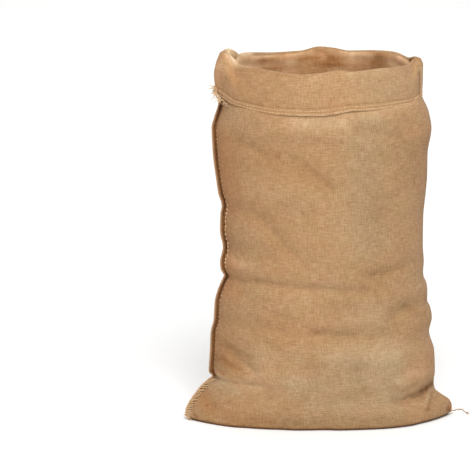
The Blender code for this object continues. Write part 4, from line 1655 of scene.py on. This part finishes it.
def hem_grains(hem_line):
    """Paths of one row of stitches, with t from -1 to 1: along the ring and up by the slope,
    with an arch outwards of 1 - t^2."""
    line = cuff_rings([hem_line], hem_rise(np.array([hem_line])))[0]
    points, ahead = along_ring(line, HEM_PITCH)
    out = unit(np.cross(ahead, [0, 0, 1.0]))
    t = np.linspace(-1, 1, 6)[None, :, None]
    arch = (1 - t**2) * HEM_ARCH - HEM_SUNK
    length = HEM_LENGTH * rng.uniform(0.85, 1.15, (len(points), 1, 1)) / 2
    up = np.array([0, 0, HEM_SLOPE])
    return points[:, None] + t * length * (ahead[:, None] + up) + arch * out[:, None]


hem_paths = np.concatenate([hem_grains(hem_line) for hem_line in HEM_LINES])
sewn_on.append(sew("hem_stitches", hem_paths, HEM_STITCH, pale_twine, 5))

# %% [markdown]
# ## Loose yarns
#
# Hessian frays wherever it is cut. Thick ends of yarn stand out where the seam meets the cuff
# and at both bottom corners, and fine hairs stand off the rolled edge and the hem. A hair system
# would cover the cloth evenly, but a sack frays in tufts. So each yarn is a thin tube that leaves
# the cloth at a place from a table and bends away by the square of the distance.

# %% Fraying
FRAYS = (
    # from x, y, z to x, y, z, direction x, y, z, count, longest_mm, radius_mm
    (-0.236, -0.004, 0.756, -0.230, -0.020, 0.740, -0.8, -0.3, -0.3, 40, 11.0, 0.60),
    (-0.232, -0.016, 0.744, -0.222, -0.034, 0.728, -0.5, -0.4, -0.7, 46, 9.0, 0.60),
    (-0.226, -0.030, 0.734, -0.206, -0.050, 0.722, -0.2, -0.5, -0.8, 30, 6.0, 0.50),
    (0.294, -0.004, 0.005, 0.298, -0.002, 0.014, 0.7, -0.3, 0.2, 16, 6.0, 0.60),
    (-0.302, -0.034, 0.006, -0.296, -0.040, 0.018, -0.5, -0.4, -0.2, 10, 5.0, 0.50),
    (0.305, -0.001, 0.010, 0.324, 0.001, 0.011, 0.6, -0.2, 0.2, 26, 5.0, 0.30),
    (0.330, 0.002, 0.004, 0.337, 0.001, 0.002, 0.8, 0.0, 0.3, 14, 7.0, 0.30),
)
EDGE_HAIRS = 90
HEM_HAIRS = 60
HAIR = 0.2 * MM  # radius, thicker than a real hair so that it shows


def wisps(starts, ways, lengths):
    """Paths that leave each start along its way and bend by t squared in a random direction."""
    t = np.linspace(0, 1, 6)[None, :, None]
    bend = rng.normal(0, 0.45, (len(starts), 1, 3))
    lengths = np.reshape(lengths, (-1, 1, 1))
    paths = starts[:, None] + lengths * (t * ways[:, None] + t**2 * bend)
    paths[:, :, 2] = np.maximum(paths[:, :, 2], 0.5 * MM)
    return paths


def frays():
    """Paths and radii of the tufts in FRAYS, whose yarns start near a line."""
    paths, radii = [], []
    for *places, count, longest, radius in FRAYS:
        low, high, way = np.reshape(places, (3, 3))
        starts = mix(low, high, rng.uniform(0, 1, (count, 1))) + rng.normal(0, 1 * MM, (count, 3))
        ways = unit(way + rng.normal(0, 0.35, (count, 3)))
        paths.append(wisps(starts, ways, rng.uniform(0.4, 1, count) * longest * MM))
        radii.append(np.full(count, radius * MM))
    return paths, radii


def hairs():
    """Paths of fine hairs along the rolled edge and along the front of the hem."""
    z = rng.uniform(0.03, 0.70, EDGE_HAIRS)
    x, y = flange_points(wall_plan(z), -1, (0.95,))
    ways = unit([-0.7, -0.5, 0.1] + rng.normal(0, 0.5, (EDGE_HAIRS, 3)))
    starts = np.concatenate([x, y, z[:, None]], axis=1)
    edge = wisps(starts, ways, rng.uniform(2, 6, EDGE_HAIRS) * MM)
    hem = cuff_rings([0.99], HEM_EXTRA)[0, :COLUMNS]
    starts = hem[rng.integers(8, COLUMNS - 20, HEM_HAIRS)]
    ways = unit([0.0, -0.4, -0.6] + rng.normal(0, 0.5, (HEM_HAIRS, 3)))
    return [edge, wisps(starts, ways, rng.uniform(2, 5, HEM_HAIRS) * MM)]


fray_paths, fray_radii = frays()
hair_paths = hairs()
radii = np.concatenate(fray_radii + [np.full(len(made), HAIR) for made in hair_paths])
yarn_paths = np.concatenate(fray_paths + hair_paths)
sewn_on.append(sew("loose_yarns", yarn_paths, radii[:, None], pale_twine, 5))

# %% [markdown]
# ## The sheet of cloth
#
# The sack is one sheet, folded and sewn, and all the sewing and fraying belongs to it: each
# piece hangs from the same empty, body:root, as the cloth. This cell lists them.

# %% The sheet of cloth
print("sewn on:", [piece.name for piece in sewn_on])

# %% [markdown]
# ## Floor, backdrop and light
#
# A plain white floor under broad, soft light from above the camera. The world gives the fill, so
# that the shadows stay open and warm. A second lamp behind brightens the floor there.

# %% Studio
FLOOR_SIDE = 30.0
WORLD = 0.55  # strength of the fill


def add_floor():
    """A square of floor, half a millimetre under the sack, so that the two never flicker."""
    half = FLOOR_SIDE / 2
    mesh = bpy.data.meshes.new("floor")
    corners = [(-half, -half, 0), (half, -half, 0), (half, half, 0), (-half, half, 0)]
    mesh.from_pydata(corners, [], [(0, 1, 2, 3)])
    mesh.update()
    made, _, shader = new_material("white_floor")
    fill(shader, {"Base Color": linear("#f2f2f1"), "Roughness": 0.9})
    mesh.materials.append(made)
    floor = add_object(mesh)
    floor.location.z = -0.5 * MM
    return floor


def add_light(name, place, aim, size, power):
    """A round lamp of this size in metres at a place, turned towards aim."""
    data = bpy.data.lights.new(name, "AREA")
    data.shape = "DISK"
    data.size = size
    data.energy = power
    made = bpy.data.objects.new(name, data)
    made.location = place
    away = np.array(place) - np.array(aim)
    flat = math.hypot(away[0], away[1])
    made.rotation_euler = (math.atan2(flat, away[2]), 0, math.atan2(away[0], -away[1]))
    bpy.context.scene.collection.objects.link(made)
    return made


def add_world():
    """Even white light from all round."""
    world = bpy.data.worlds.new("studio")
    world.use_nodes = True
    white = {"Color": (1.0, 1.0, 1.0, 1.0), "Strength": WORLD}
    fill(world.node_tree.nodes["Background"], white)
    bpy.context.scene.world = world


add_floor()
add_world()
add_light("key", (0.2, -2.6, 3.5), (0, 0, 0.4), 2.4, 168)
add_light("backdrop", (-0.2, 4.6, 4.0), (-0.2, 4.6, 0.0), 5.0, 130)
bpy.context.scene.view_settings.view_transform = "Standard"
print("lamps:", [lamp.name for lamp in bpy.data.lights])
